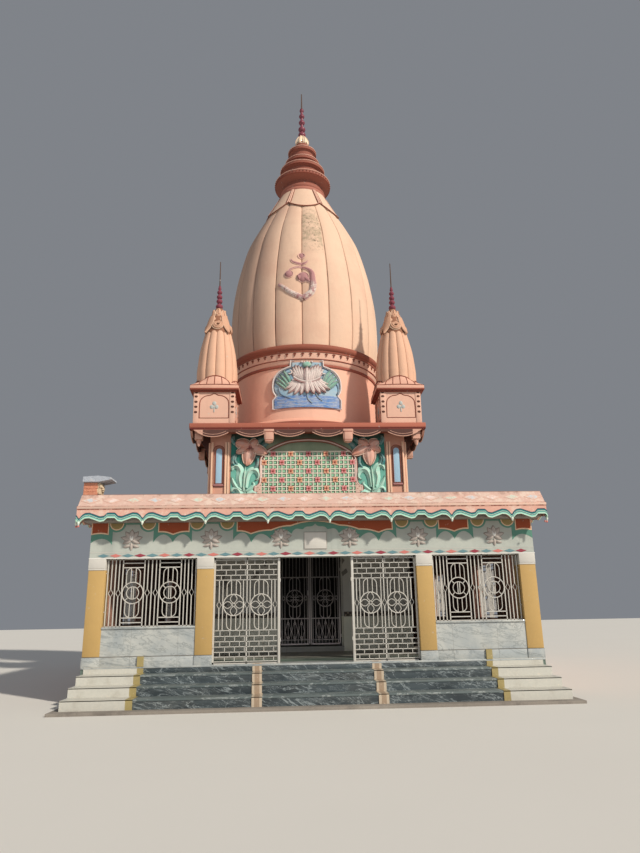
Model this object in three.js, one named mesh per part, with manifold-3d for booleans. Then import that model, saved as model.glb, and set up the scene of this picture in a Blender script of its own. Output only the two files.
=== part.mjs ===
// Temple with a flat-roofed front hall, a square tower base, a ribbed dome and a ringed finial.
// Units are millimetres, +X right, +Y into the building, +Z up.
// Plans are drawn with the front face of the hall at Y = 0 and the tower's axis at X = 0.
// The whole group is then moved so that the origin is the middle of the footprint, at ground level.
import * as THREE from 'three';
import { mergeVertices } from 'three/addons/utils/BufferGeometryUtils.js';
import Module from 'manifold-3d';

const wasm = await Module();
wasm.setup();

// Hall, from the ground up
const FLOOR_Z = 655;
const BEAM_Z = 2690;
const SOFFIT_Z = 3400;
const ROOF_Z = 3550;
const HALL_HALF = 4510;
const WALL = 250;
const WALKWAY = 1660;

// Front bay lines, measured from the tower's axis
const PILASTER_DEPTH = 340;
const OUTER_PILASTER = [4180, HALL_HALF];
const INNER_PILASTER = [2045, 2375];
const WINDOW_SILL_Z = 1385;
const CAPITAL_Z = 2505;
const CAPITAL_PROUD = 18;
const DADO_SETBACK = 20;
const DADO_DEPTH = 200;
const GRILLE_Y = 90;
const GRILLE_DEPTH = 24;
const BAR = 22;
const FRAME_BAR = 32;
const CIRCLE_R = 206;
const CIRCLE_OFFSET = 366;
const CIRCLE_DROP = 10;
const SIDE_UPRIGHT = 300;
const GRILLE_LOW_RAIL = 115;
const GRILLE_HIGH_RAIL = 160;
const ENTRANCE_CIRCLES = [1099, 1652];
const ENTRANCE_CIRCLE_Z = 1768;
const ENTRANCE_RAIL_ZS = [1285, 2245];
const POST_INNER = 710;
const POST = 36;

// Steps, each one tread deep
const STEP_TOPS = [210, 370, 530];
const TREAD = 411;
const STEP_HALF = 4440;
const STEP_BASE_HALF = 4600;
const STEP_BASE_Z = 50;
const STEP_BASE_PROUD = 230;

// Eaves of the hall: a fascia with a wavy lower edge and a sloped coping on top
const EAVE_FRONT = 426;
const EAVE_SIDE = 190;
const FASCIA_TOP_Z = 3641;
const FASCIA_THICK = 110;
const COPING_TOP_Z = 3955;
const COPING_SLOPE = 250;
const COPING_WIDTH = 370;
const WAVE_PERIOD = 1231;
const WAVE_START = 55;
const SIDE_WAVES = 9;
const CUT_PAST = 50;
const WAVE_TIP_Z = 3334;

// Pier stub that stands on the roof's left front corner
const PIER_X = [-4700, -4300];
const PIER_DEPTH = 300;
const PIER_CAP_LAP = 60;
const PIER_TOP_Z = 4210;
const PIER_CAP_Z = 4340;
const PIER_CAP_X = [-4700, -4120];

// Tower walls and the gate in their front
const TOWER_HALF = 2600;
const TOWER_FRONT_Y = 3754;
const TOWER_WALL = 300;
const TOWER_TOP_Z = 6290;
const SANCTUM_Z = 773;
const DOORWAY_HALF = 845;
const DOORWAY_TOP_Z = 3080;
const STRIP_INNER = 2087;
const STRIP_PROUD = 40;
const NICHE = { inner: 2246, outer: 2559, z0: 4835, z1: 5940, depth: 30 };
const ARCH = { half: 1320, shoulder: 1160, springZ: 5560, shoulderZ: 5790, topZ: 6110, width: 75, proud: 40 };

const GATE_FRAME_BAR = 42;
const GATE_OUTER = 776;
const GATE_MEET = 6;
const GATE_BOTTOM_Z = 812;
const GATE_TOP_Z = 3010;
const GATE_FRONT_Y = 3850;
const GATE_DEPTH = 36;
const GATE_BAR = 16;
const GATE_RAIL_ZS = [1449, 2471];
const GATE_CIRCLE_Z = 1945;
const GATE_CIRCLE_R = 210;
const GATE_UPRIGHT = 270;
const HINGE_X = 788;
const HINGE_PIN_R = 7;
const HINGE_EYE_R = 13;
const HINGE_EYE_H = 50;
const HINGE_ZS = [1000, 2640];
const HINGE_BACK = 14;
const SHELF_REACH = 10;
const SHELF_CLEAR = 3;
const SHELF_THICK = 14;
const PIN_PAST_EYE = 12;
const HINGE_STEPS = 12;
const FUSE = 4;
const TAIL_REACH = 30;
const GATE_RAIL_BAR = 24;
const RUNNING_GAP = 0.3;

// Eave slab, drum, dome and finial, all about the tower's axis
const AXIS_Y = TOWER_FRONT_Y + TOWER_HALF;
const SLAB_HALF = 3140;
const SLAB_TOP_Z = 6450;
const SCALLOP_COUNT = 6;
const SCALLOP_PITCH = 1010;
const SCALLOP_DROP = 185;
const SCALLOP_LIP = 25;
const SCALLOP_THICK = 60;
const HANGING_BLOCK = { x: 1050, half: 125, depth: 160, z: 5930 };
const PENDANT = { offset: 2915, half: 100, z: 6047, budR: 62, tipZ: 5858 };
const BRACKET = { reach: 510, footZ: 5400, width: 280 };
const DRUM_R = 2250;
const DRUM_WALL = 220;
const DRUM_FOOT_PROUD = 130;
const DRUM_FOOT_Z = 6740;
const DRUM_TOP_Z = 8500;
const RING_TOP_Z = 9030;
const PANEL = {
  half: 980,
  waist: 885,
  tab: 455,
  z0: 7153,
  waistZ: 7536,
  shoulderZ: 7931,
  topZ: 8490,
  proud: 70,
};
const DOME_LOBES = 18;
const LOBE_STEPS = 4;
const LOBE_DEPTH = 0.038;
const LOBE_POWER = 0.5;
const DOME_SEAM_TURN = -3;
const DOME_WALL = 200;
const COLLAR_PROFILE = [
  [1270, 0],
  [1000, 500],
  [780, 920],
  [800, 980],
  [800, 1060],
  [700, 1120],
];
const NECK_R = 640;
const DOME_TOP_Z = 14500;
const NECK_Z = 15700;
const RINGS_TOP_Z = 17760;
const DOME_STEPS = DOME_LOBES * LOBE_STEPS;
const DRUM_STEPS = 48;
const FINIAL_STEPS = 24;
const BEAD_STEPS = 12;
const TIP_STEPS = 8;

// Corner turrets on the eave slab
const TURRET_OFFSET = 2520;
const TURRET_HALF = 555;
const TURRET_BOX_Z = 7370;
const TURRET_CORNICE_HALF = 655;
const TURRET_CORNICE_Z = 7540;
const TURRET_RIBS = 12;
const TURRET_RIB_DEPTH = 0.1;
const SPIRE_TOP_Z = 9220;
const TURRET_CAP = { foot: 640, top: 540, rise: 400, coneFoot: 1050, coneTop: 560 };

const HALL_DEPTH = TOWER_FRONT_Y + 2 * TOWER_HALF + WALKWAY + WALL;
const FRONT_Y = -TREAD * STEP_TOPS.length - STEP_BASE_PROUD;
const BACK_Y = HALL_DEPTH + EAVE_SIDE;
const CENTRE_Y = (FRONT_Y + BACK_Y) / 2;

const PAINT = {
  salmon: [0xd99a80, 0.8, 0],
  cream: [0xe3b597, 0.8, 0],
  terracotta: [0xa9563f, 0.8, 0],
  whitewash: [0xd8d6d0, 0.85, 0],
  ochre: [0xd9a548, 0.75, 0],
  marble: [0xd9d7d2, 0.35, 0],
  darkMarble: [0x5d6764, 0.4, 0],
  concrete: [0x9b948b, 0.9, 0],
  steel: [0xe6e2da, 0.4, 0.6],
  iron: [0x2b2725, 0.6, 0.4],
  maroon: [0x8c2f3c, 0.5, 0],
  aqua: [0x9cc8dc, 0.7, 0],
};

const temple = new THREE.Group();
temple.position.y = -CENTRE_Y;

function addPart(name, geometry, paint) {
  const [color, roughness, metalness] = PAINT[paint];
  const material = new THREE.MeshStandardMaterial({ color, roughness, metalness });
  const mesh = new THREE.Mesh(geometry, material);
  mesh.name = name;
  temple.add(mesh);
  return mesh;
}

// Basic forms

function block(x0, x1, y0, y1, z0, z1) {
  const geometry = new THREE.BoxGeometry(x1 - x0, y1 - y0, z1 - z0);
  return geometry.translate((x0 + x1) / 2, (y0 + y1) / 2, (z0 + z1) / 2);
}

function ordered(a, b) {
  return a < b ? [a, b] : [b, a];
}

function outline(points) {
  return new THREE.Shape(points.map(([x, y]) => new THREE.Vector2(x, y)));
}

const FLAT_SIDES = { bevelEnabled: false, curveSegments: 6 };

// An outline drawn in plan, raised from z0 to z1
function slab(shape, z0, z1) {
  const geometry = new THREE.ExtrudeGeometry(shape, { ...FLAT_SIDES, depth: z1 - z0 });
  return geometry.translate(0, 0, z0);
}

// An outline drawn in elevation as X and Z, thickened from y0 back to y1
function plate(shape, y0, y1) {
  const geometry = new THREE.ExtrudeGeometry(shape, { ...FLAT_SIDES, depth: y1 - y0 });
  return geometry.rotateX(Math.PI / 2).translate(0, y1, 0);
}

// A profile of radius and height turned about the vertical axis
function turned(profile, steps) {
  const points = profile.map(([r, z]) => new THREE.Vector2(r, z));
  return new THREE.LatheGeometry(points, steps).rotateX(Math.PI / 2);
}

function merged(geometry) {
  const bare = geometry.clone();
  bare.deleteAttribute('normal');
  bare.deleteAttribute('uv');
  return mergeVertices(bare, 1e-3);
}

function signedVolume(positions, index) {
  const corners = [new THREE.Vector3(), new THREE.Vector3(), new THREE.Vector3()];
  let total = 0;
  for (let i = 0; i < index.length; i += 3) {
    corners.forEach((corner, k) => corner.fromArray(positions, index[i + k] * 3));
    total += corners[0].dot(corners[1].cross(corners[2]));
  }
  return total;
}

// A merged copy whose faces all point outwards
function outward(geometry) {
  const closed = merged(geometry);
  const index = Array.from(closed.index.array);
  if (signedVolume(closed.attributes.position.array, index) < 0) {
    index.reverse();
    closed.setIndex(index);
  }
  return closed;
}

function toSolid(geometry) {
  const closed = outward(geometry);
  return new wasm.Manifold(new wasm.Mesh({
    numProp: 3,
    vertProperties: new Float32Array(closed.attributes.position.array),
    triVerts: new Uint32Array(closed.index.array),
  }));
}

function toGeometry(solid) {
  const mesh = solid.getMesh();
  const geometry = new THREE.BufferGeometry();
  geometry.setAttribute('position', new THREE.BufferAttribute(mesh.vertProperties, 3));
  geometry.setIndex(new THREE.BufferAttribute(mesh.triVerts, 1));
  return geometry;
}

function joined(geometries) {
  return toGeometry(geometries.map(toSolid).reduce((whole, next) => whole.add(next)));
}

function cut(geometry, tools) {
  return toGeometry(tools.map(toSolid).reduce((whole, tool) => whole.subtract(tool), toSolid(geometry)));
}

function common(geometry, other) {
  return toGeometry(toSolid(geometry).intersect(toSolid(other)));
}

// Grilles: square bars fused where they cross

function upright(x, z0, z1, width, y0, depth) {
  return block(x - width / 2, x + width / 2, y0, y0 + depth, z0, z1);
}

function rail(x0, x1, z, width, y0, depth) {
  return block(x0, x1, y0, y0 + depth, z - width / 2, z + width / 2);
}

function hoop(x, z, radius, width, y0, depth) {
  const shape = new THREE.Shape().absarc(x, z, radius, 0, 2 * Math.PI);
  shape.holes.push(new THREE.Path().absarc(x, z, radius - width, 0, 2 * Math.PI));
  return plate(shape, y0, y0 + depth);
}

function frameBars(x0, x1, z0, z1, width, y0, depth) {
  return [
    upright(x0 + width / 2, z0, z1, width, y0, depth),
    upright(x1 - width / 2, z0, z1, width, y0, depth),
    rail(x0, x1, z0 + width / 2, width, y0, depth),
    rail(x0, x1, z1 - width / 2, width, y0, depth),
  ];
}

// Front window: two hoops between crossed rails and uprights
function windowGrille(x0, x1, z0, z1) {
  const bars = frameBars(x0, x1, z0, z1, FRAME_BAR, GRILLE_Y, GRILLE_DEPTH);
  const middle = (x0 + x1) / 2;
  const circleZ = (z0 + z1) / 2 - CIRCLE_DROP;
  for (const z of [z0 + GRILLE_LOW_RAIL, z1 - GRILLE_HIGH_RAIL]) {
    bars.push(rail(x0, x1, z, BAR, GRILLE_Y, GRILLE_DEPTH));
  }
  for (const side of [-1, 1]) {
    const centre = middle + side * CIRCLE_OFFSET;
    bars.push(hoop(centre, circleZ, CIRCLE_R, BAR, GRILLE_Y, GRILLE_DEPTH));
    bars.push(upright(centre, z0, circleZ - CIRCLE_R + BAR, BAR, GRILLE_Y, GRILLE_DEPTH));
    bars.push(upright(centre, circleZ + CIRCLE_R - BAR, z1, BAR, GRILLE_Y, GRILLE_DEPTH));
    bars.push(upright(centre + side * SIDE_UPRIGHT, z0, z1, BAR, GRILLE_Y, GRILLE_DEPTH));
  }
  bars.push(upright(middle, z0, z1, BAR, GRILLE_Y, GRILLE_DEPTH));
  return joined(bars);
}

function plainGrille(x0, x1, z0, z1) {
  const bars = frameBars(x0, x1, z0, z1, FRAME_BAR, GRILLE_Y, GRILLE_DEPTH);
  const middle = (x0 + x1) / 2;
  for (const offset of [-CIRCLE_OFFSET, 0, CIRCLE_OFFSET]) {
    bars.push(upright(middle + offset, z0, z1, BAR, GRILLE_Y, GRILLE_DEPTH));
  }
  for (const z of [z0 + GRILLE_LOW_RAIL, z1 - GRILLE_HIGH_RAIL]) {
    bars.push(rail(x0, x1, z, BAR, GRILLE_Y, GRILLE_DEPTH));
  }
  return joined(bars);
}

// Plinth, floors and steps

function addBase() {
  addPart('plinth', block(-HALL_HALF, HALL_HALF, 0, HALL_DEPTH, 0, FLOOR_Z), 'marble');
  const rear = TOWER_FRONT_Y + TOWER_WALL;
  const back = TOWER_FRONT_Y + 2 * TOWER_HALF - TOWER_WALL;
  const room = TOWER_HALF - TOWER_WALL;
  const floorPlan = outline([
    [-DOORWAY_HALF, TOWER_FRONT_Y],
    [DOORWAY_HALF, TOWER_FRONT_Y],
    [DOORWAY_HALF, rear],
    [room, rear],
    [room, back],
    [-room, back],
    [-room, rear],
    [-DOORWAY_HALF, rear],
  ]);
  addPart('sanctum_floor', slab(floorPlan, FLOOR_Z, SANCTUM_Z), 'darkMarble');
  addPart('step_base', block(-STEP_BASE_HALF, STEP_BASE_HALF, FRONT_Y, 0, 0, STEP_BASE_Z), 'concrete');
  STEP_TOPS.forEach((top, i) => {
    const from = i === 0 ? STEP_BASE_Z : STEP_TOPS[i - 1];
    const front = -TREAD * (STEP_TOPS.length - i);
    addPart(`step_${i + 1}`, block(-STEP_HALF, STEP_HALF, front, 0, from, top), 'darkMarble');
  });
}

// Front of the hall: pilasters, dados, beam and grilles

function addFront() {
  const sides = [['left', -1], ['right', 1]];
  for (const [word, side] of sides) {
    const pairs = [['outer', OUTER_PILASTER], ['inner', INNER_PILASTER]];
    for (const [place, range] of pairs) {
      const [x0, x1] = ordered(side * range[0], side * range[1]);
      const shaft = block(x0, x1, 0, PILASTER_DEPTH, FLOOR_Z, BEAM_Z);
      const capital = block(x0, x1, -CAPITAL_PROUD, PILASTER_DEPTH, CAPITAL_Z, BEAM_Z);
      addPart(`${word}_${place}_pilaster`, joined([shaft, capital]), 'ochre');
    }
    const [w0, w1] = ordered(side * INNER_PILASTER[1], side * OUTER_PILASTER[0]);
    const dado = block(w0, w1, DADO_SETBACK, DADO_DEPTH, FLOOR_Z, WINDOW_SILL_Z);
    addPart(`${word}_window_dado`, dado, 'marble');
    addPart(`${word}_front_window_grille`, windowGrille(w0, w1, WINDOW_SILL_Z, BEAM_Z), 'steel');
    addPart(`${word}_entrance_grille`, entranceGrille(side), 'steel');
  }
  addPart('front_beam', block(-HALL_HALF, HALL_HALF, 0, PILASTER_DEPTH, BEAM_Z, SOFFIT_Z), 'whitewash');
}

// Fixed grille panel beside the entrance, with the post that frames the way in
function entranceGrille(side) {
  const [x0, x1] = ordered(side * POST_INNER, side * INNER_PILASTER[0]);
  const bars = frameBars(x0, x1, FLOOR_Z, BEAM_Z, POST, GRILLE_Y, POST);
  for (const z of ENTRANCE_RAIL_ZS) {
    bars.push(rail(x0, x1, z, BAR, GRILLE_Y, GRILLE_DEPTH));
  }
  const low = ENTRANCE_CIRCLE_Z - CIRCLE_R + BAR;
  const high = ENTRANCE_CIRCLE_Z + CIRCLE_R - BAR;
  for (const x of ENTRANCE_CIRCLES) {
    bars.push(hoop(side * x, ENTRANCE_CIRCLE_Z, CIRCLE_R, BAR, GRILLE_Y, GRILLE_DEPTH));
    bars.push(upright(side * x, FLOOR_Z, low, BAR, GRILLE_Y, GRILLE_DEPTH));
    bars.push(upright(side * x, high, BEAM_Z, BAR, GRILLE_Y, GRILLE_DEPTH));
  }
  const middle = (ENTRANCE_CIRCLES[0] + ENTRANCE_CIRCLES[1]) / 2;
  bars.push(upright(side * middle, FLOOR_Z, BEAM_Z, FRAME_BAR, GRILLE_Y, GRILLE_DEPTH));
  return joined(bars);
}

// Side and rear walls of the hall, with window openings like the front's

function windowSpans(length, count, width) {
  const pitch = length / count;
  return Array.from({ length: count }, (unused, i) => {
    const middle = pitch * (i + 0.5);
    return [middle - width / 2, middle + width / 2];
  });
}

function piercedWall(length, spans) {
  const wall = block(0, length, 0, WALL, FLOOR_Z, SOFFIT_Z);
  const holes = spans.map(([a, b]) => block(a, b, -CUT_PAST, WALL + CUT_PAST, WINDOW_SILL_Z, BEAM_Z));
  return cut(wall, holes);
}

// Places a piece drawn along X with its outer face at Y = 0 against one side of the hall
function placeOnSide(mesh, side) {
  const turns = {
    left: [-Math.PI / 2, -HALL_HALF, HALL_DEPTH - WALL],
    right: [Math.PI / 2, HALL_HALF, PILASTER_DEPTH],
    rear: [Math.PI, HALL_HALF, HALL_DEPTH],
  };
  const [angle, x, y] = turns[side];
  mesh.rotation.z = angle;
  mesh.position.set(x, y, 0);
}

function addWalls() {
  const windowWidth = OUTER_PILASTER[0] - INNER_PILASTER[1];
  const lengths = {
    left: HALL_DEPTH - WALL - PILASTER_DEPTH,
    right: HALL_DEPTH - WALL - PILASTER_DEPTH,
    rear: 2 * HALL_HALF,
  };
  for (const [side, length] of Object.entries(lengths)) {
    const spans = windowSpans(length, 2, windowWidth);
    const wall = addPart(`${side}_wall`, piercedWall(length, spans), 'salmon');
    placeOnSide(wall, side);
    spans.forEach(([a, b], i) => {
      const grille = plainGrille(a, b, WINDOW_SILL_Z, BEAM_Z);
      placeOnSide(addPart(`${side}_window_grille_${i + 1}`, grille, 'steel'), side);
    });
  }
}

// Roof slab and the four eaves

function addRoof() {
  const inset = FASCIA_THICK;
  const x = HALL_HALF + EAVE_SIDE - inset;
  const y0 = -EAVE_FRONT + inset;
  const y1 = BACK_Y - inset;
  const shape = outline([
    [-x, y0],
    [x, y0],
    [x, y1],
    [-x, y1],
  ]);
  const gap = RUNNING_GAP;
  const reach = TOWER_HALF + gap;
  shape.holes.push(outline([
    [-reach, TOWER_FRONT_Y - gap],
    [reach, TOWER_FRONT_Y - gap],
    [reach, TOWER_FRONT_Y + 2 * TOWER_HALF + gap],
    [-reach, TOWER_FRONT_Y + 2 * TOWER_HALF + gap],
  ]));
  addPart('roof_slab', slab(shape, SOFFIT_Z, ROOF_Z), 'concrete');
}

// Rise of the fascia's lower edge above its tips over one period of the wave, as pairs of phase and rise
const WAVE = [
  [0, 0],
  [0.04, 66],
  [0.09, 116],
  [0.16, 124],
  [0.25, 84],
  [0.33, 48],
  [0.39, 60],
  [0.44, 122],
  [0.56, 122],
  [0.61, 60],
  [0.67, 48],
  [0.75, 84],
  [0.84, 124],
  [0.91, 116],
  [0.96, 66],
];

// What is cut away below the wave, for an eave drawn along X from 0 to length
function waveCutter(length, start, period) {
  const line = [];
  const firstTurn = Math.floor(-start / period) - 1;
  for (let turn = firstTurn; start + turn * period < length; turn += 1) {
    for (const [phase, rise] of WAVE) {
      const at = start + (turn + phase) * period;
      if (at > 0 && at < length) {
        line.push([at, WAVE_TIP_Z + rise]);
      }
    }
  }
  const below = WAVE_TIP_Z - CUT_PAST;
  const ends = [-CUT_PAST, length + CUT_PAST];
  line.unshift([ends[0], below], [ends[0], line[0][1]]);
  line.push([ends[1], line[line.length - 1][1]], [ends[1], below]);
  return plate(outline(line), -CUT_PAST, COPING_WIDTH + CUT_PAST);
}

// Front or rear eave, drawn along X with its outer face at Y = 0: fascia and sloped coping
function longEave(length) {
  const section = outline([
    [0, WAVE_TIP_Z],
    [FASCIA_THICK, WAVE_TIP_Z],
    [FASCIA_THICK, ROOF_Z],
    [COPING_WIDTH, ROOF_Z],
    [COPING_WIDTH, COPING_TOP_Z],
    [COPING_SLOPE, COPING_TOP_Z],
    [0, FASCIA_TOP_Z],
  ]);
  const bar = new THREE.ExtrudeGeometry(section, { ...FLAT_SIDES, depth: length });
  bar.rotateX(Math.PI / 2).rotateZ(Math.PI / 2);
  return cut(bar, [waveCutter(length, WAVE_START, WAVE_PERIOD)]);
}

// Side eave, drawn the same way: its fascia and parapet end behind those of the long eaves
function sideEave(length, period) {
  const fascia = block(FASCIA_THICK, length - FASCIA_THICK, 0, FASCIA_THICK, WAVE_TIP_Z, ROOF_Z);
  const parapet = block(COPING_WIDTH, length - COPING_WIDTH, 0, COPING_WIDTH, ROOF_Z, COPING_TOP_Z);
  return cut(joined([fascia, parapet]), [waveCutter(length, WAVE_START, period)]);
}

function addEaves() {
  const x = HALL_HALF + EAVE_SIDE;
  const deep = BACK_Y + EAVE_FRONT;
  const sidePeriod = (deep - 2 * WAVE_START) / SIDE_WAVES;
  const places = [
    ['front_eave', longEave(2 * x), 0, -x, -EAVE_FRONT],
    ['right_eave', sideEave(deep, sidePeriod), Math.PI / 2, x, -EAVE_FRONT],
    ['rear_eave', longEave(2 * x), Math.PI, x, BACK_Y],
    ['left_eave', sideEave(deep, sidePeriod), -Math.PI / 2, -x, BACK_Y],
  ];
  for (const [name, geometry, angle, px, py] of places) {
    const mesh = addPart(name, geometry, 'salmon');
    mesh.rotation.z = angle;
    mesh.position.set(px, py, 0);
  }
}

function addRoofPier() {
  const [x0, x1] = PIER_X;
  const y0 = -EAVE_FRONT + COPING_SLOPE;
  const y1 = y0 + PIER_DEPTH;
  addPart('roof_corner_pier', block(x0, x1, y0, y1, COPING_TOP_Z, PIER_TOP_Z), 'terracotta');
  const [c0, c1] = PIER_CAP_X;
  const cap = block(c0, c1, y0 - PIER_CAP_LAP, y1 + PIER_CAP_LAP, PIER_TOP_Z, PIER_CAP_Z);
  addPart('roof_corner_pier_cap', cap, 'concrete');
}

// Tower walls, from the floor through the roof up to the eave slab

// Round-headed opening line of the raised arch on each tower face, drawn smaller by the given inset
function archLine(inset) {
  const { half, shoulder, springZ, shoulderZ, topZ } = ARCH;
  const shape = new THREE.Shape();
  shape.moveTo(-half + inset, ROOF_Z + RUNNING_GAP);
  shape.lineTo(half - inset, ROOF_Z + RUNNING_GAP);
  shape.lineTo(half - inset, springZ);
  shape.quadraticCurveTo(half - inset, shoulderZ - inset, shoulder - inset, shoulderZ - inset);
  shape.quadraticCurveTo(shoulder / 2, topZ - inset, 0, topZ - inset);
  shape.quadraticCurveTo(-shoulder / 2, topZ - inset, -shoulder + inset, shoulderZ - inset);
  shape.quadraticCurveTo(-half + inset, shoulderZ - inset, -half + inset, springZ);
  return shape;
}

// Raised arch against a face at the given Y, in front of it
function archMoulding(face) {
  const front = face - ARCH.proud;
  const outer = plate(archLine(0), front, face + FUSE);
  const inner = plate(archLine(ARCH.width), front - CUT_PAST, face + CUT_PAST);
  const sillZ = ROOF_Z + RUNNING_GAP;
  const sill = block(-ARCH.half, ARCH.half, front, face + FUSE, sillZ, sillZ + ARCH.width);
  return joined([cut(outer, [inner]), sill]);
}

// Corner strip against a face at the given Y, out to the given distance, with its arched niche
function cornerStrip(side, face, reach) {
  const front = face - STRIP_PROUD;
  const [x0, x1] = ordered(side * STRIP_INNER, side * reach);
  const strip = block(x0, x1, front, face, ROOF_Z + RUNNING_GAP, TOWER_TOP_Z);
  const [n0, n1] = ordered(side * NICHE.inner, side * NICHE.outer);
  const radius = (n1 - n0) / 2;
  const niche = new THREE.Shape();
  niche.moveTo(n0, NICHE.z0);
  niche.lineTo(n1, NICHE.z0);
  niche.lineTo(n1, NICHE.z1 - radius);
  niche.absarc(n0 + radius, NICHE.z1 - radius, radius, 0, Math.PI);
  return cut(strip, [plate(niche, front - CUT_PAST, front + NICHE.depth)]);
}

// The same strip on the adjoining side face, where it runs past the end of the front wall
function returnStrip(side) {
  const strip = cornerStrip(-side, -TOWER_HALF, TOWER_HALF + FUSE);
  return onAxis(strip.rotateZ((side * Math.PI) / 2));
}

// Front or rear wall above the doorway's head, drawn as the front one
function towerFace(z0) {
  const y0 = TOWER_FRONT_Y;
  return joined([
    block(-TOWER_HALF, TOWER_HALF, y0, y0 + TOWER_WALL, z0, TOWER_TOP_Z),
    cornerStrip(-1, y0, TOWER_HALF + STRIP_PROUD),
    cornerStrip(1, y0, TOWER_HALF + STRIP_PROUD),
    returnStrip(-1),
    returnStrip(1),
    archMoulding(y0),
  ]);
}

function addTowerWalls() {
  const y0 = TOWER_FRONT_Y;
  const y1 = TOWER_FRONT_Y + 2 * TOWER_HALF;
  const inner = TOWER_HALF - TOWER_WALL;
  for (const [word, side] of [['left', -1], ['right', 1]]) {
    const [a, b] = ordered(side * DOORWAY_HALF, side * TOWER_HALF);
    addPart(`tower_front_${word}`, block(a, b, y0, y0 + TOWER_WALL, FLOOR_Z, DOORWAY_TOP_Z), 'whitewash');
    const [c, d] = ordered(side * inner, side * TOWER_HALF);
    const wall = block(c, d, y0 + TOWER_WALL, y1 - TOWER_WALL, FLOOR_Z, TOWER_TOP_Z);
    const arch = archMoulding(-TOWER_HALF).rotateZ((side * Math.PI) / 2);
    addPart(`tower_${word}_wall`, joined([wall, onAxis(arch)]), 'salmon');
  }
  addPart('tower_front_wall', towerFace(DOORWAY_TOP_Z), 'salmon');
  const rear = addPart('tower_rear_wall', towerFace(FLOOR_Z), 'salmon');
  rear.rotation.z = Math.PI;
  rear.position.y = 2 * AXIS_Y;
}

// Inner gate: a fixed frame with pintles, and two leaves hung on them

function hingeAxisY() {
  return GATE_FRONT_Y + GATE_DEPTH + HINGE_BACK;
}

function hingeForm(profile, side, z) {
  return turned(profile, HINGE_STEPS).translate(side * HINGE_X, hingeAxisY(), z);
}

function addGate() {
  const y0 = GATE_FRONT_Y;
  const y1 = GATE_FRONT_Y + GATE_DEPTH;
  const half = DOORWAY_HALF;
  const top = DOORWAY_TOP_Z;
  const frame = [
    block(-half, -half + GATE_FRAME_BAR, y0, y1, SANCTUM_Z, top),
    block(half - GATE_FRAME_BAR, half, y0, y1, SANCTUM_Z, top),
    block(-half, half, y0, y1, top - GATE_FRAME_BAR, top),
  ];
  const back = hingeAxisY() + SHELF_REACH;
  const pinTop = HINGE_EYE_H + PIN_PAST_EYE;
  const pinFoot = FUSE - SHELF_THICK;
  const pinProfile = [[0, pinFoot], [HINGE_PIN_R, pinFoot], [HINGE_PIN_R, pinTop], [0, pinTop]];
  for (const side of [-1, 1]) {
    for (const z of HINGE_ZS) {
      const [x0, x1] = ordered(side * (HINGE_X - SHELF_REACH), side * half);
      frame.push(block(x0, x1, y1 + SHELF_CLEAR, back, z - SHELF_THICK, z));
      const [j0, j1] = ordered(side * (half - GATE_FRAME_BAR), side * half);
      frame.push(block(j0, j1, y1 - FUSE, back, z - SHELF_THICK, z));
      frame.push(hingeForm(pinProfile, side, z));
    }
  }
  addPart('gate_frame', joined(frame), 'iron');
  for (const [word, side] of [['left', -1], ['right', 1]]) {
    addPart(`${word}_gate_leaf`, gateLeaf(side), 'iron');
  }
}

function gateLeaf(side) {
  const y0 = GATE_FRONT_Y;
  const [x0, x1] = ordered(side * GATE_MEET, side * GATE_OUTER);
  const z0 = GATE_BOTTOM_Z;
  const z1 = GATE_TOP_Z;
  const centre = (x0 + x1) / 2;
  const bars = frameBars(x0, x1, z0, z1, GATE_DEPTH, y0, GATE_DEPTH);
  const mid = y0 + (GATE_DEPTH - GATE_BAR) / 2;
  for (const z of GATE_RAIL_ZS) {
    bars.push(rail(x0, x1, z, GATE_RAIL_BAR, mid, GATE_BAR));
  }
  bars.push(hoop(centre, GATE_CIRCLE_Z, GATE_CIRCLE_R, GATE_BAR, mid, GATE_BAR));
  bars.push(upright(centre, z0, GATE_CIRCLE_Z - GATE_CIRCLE_R + GATE_BAR, GATE_BAR, mid, GATE_BAR));
  bars.push(upright(centre, GATE_CIRCLE_Z + GATE_CIRCLE_R - GATE_BAR, z1, GATE_BAR, mid, GATE_BAR));
  for (const offset of [-GATE_UPRIGHT, GATE_UPRIGHT]) {
    bars.push(upright(centre + offset, z0, z1, GATE_BAR, mid, GATE_BAR));
  }
  const boreR = HINGE_PIN_R + RUNNING_GAP;
  const eyeProfile = [
    [boreR, RUNNING_GAP],
    [HINGE_EYE_R, RUNNING_GAP],
    [HINGE_EYE_R, HINGE_EYE_H],
    [boreR, HINGE_EYE_H],
    [boreR, RUNNING_GAP],
  ];
  const bore = [[0, -CUT_PAST], [boreR, -CUT_PAST], [boreR, 2 * HINGE_EYE_H], [0, 2 * HINGE_EYE_H]];
  const eyes = [];
  const bores = [];
  for (const z of HINGE_ZS) {
    eyes.push(hingeForm(eyeProfile, side, z));
    bores.push(hingeForm(bore, side, z));
    const [t0, t1] = ordered(side * (GATE_OUTER - TAIL_REACH), side * HINGE_X);
    const back = y0 + GATE_DEPTH;
    eyes.push(block(t0, t1, back - FUSE, hingeAxisY() + FUSE, z + RUNNING_GAP, z + HINGE_EYE_H));
  }
  return cut(joined([...bars, ...eyes]), bores);
}

// Eave slab, drum and ring cornice, drawn about the tower's axis

function onAxis(geometry) {
  return geometry.translate(0, AXIS_Y, 0);
}

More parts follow.
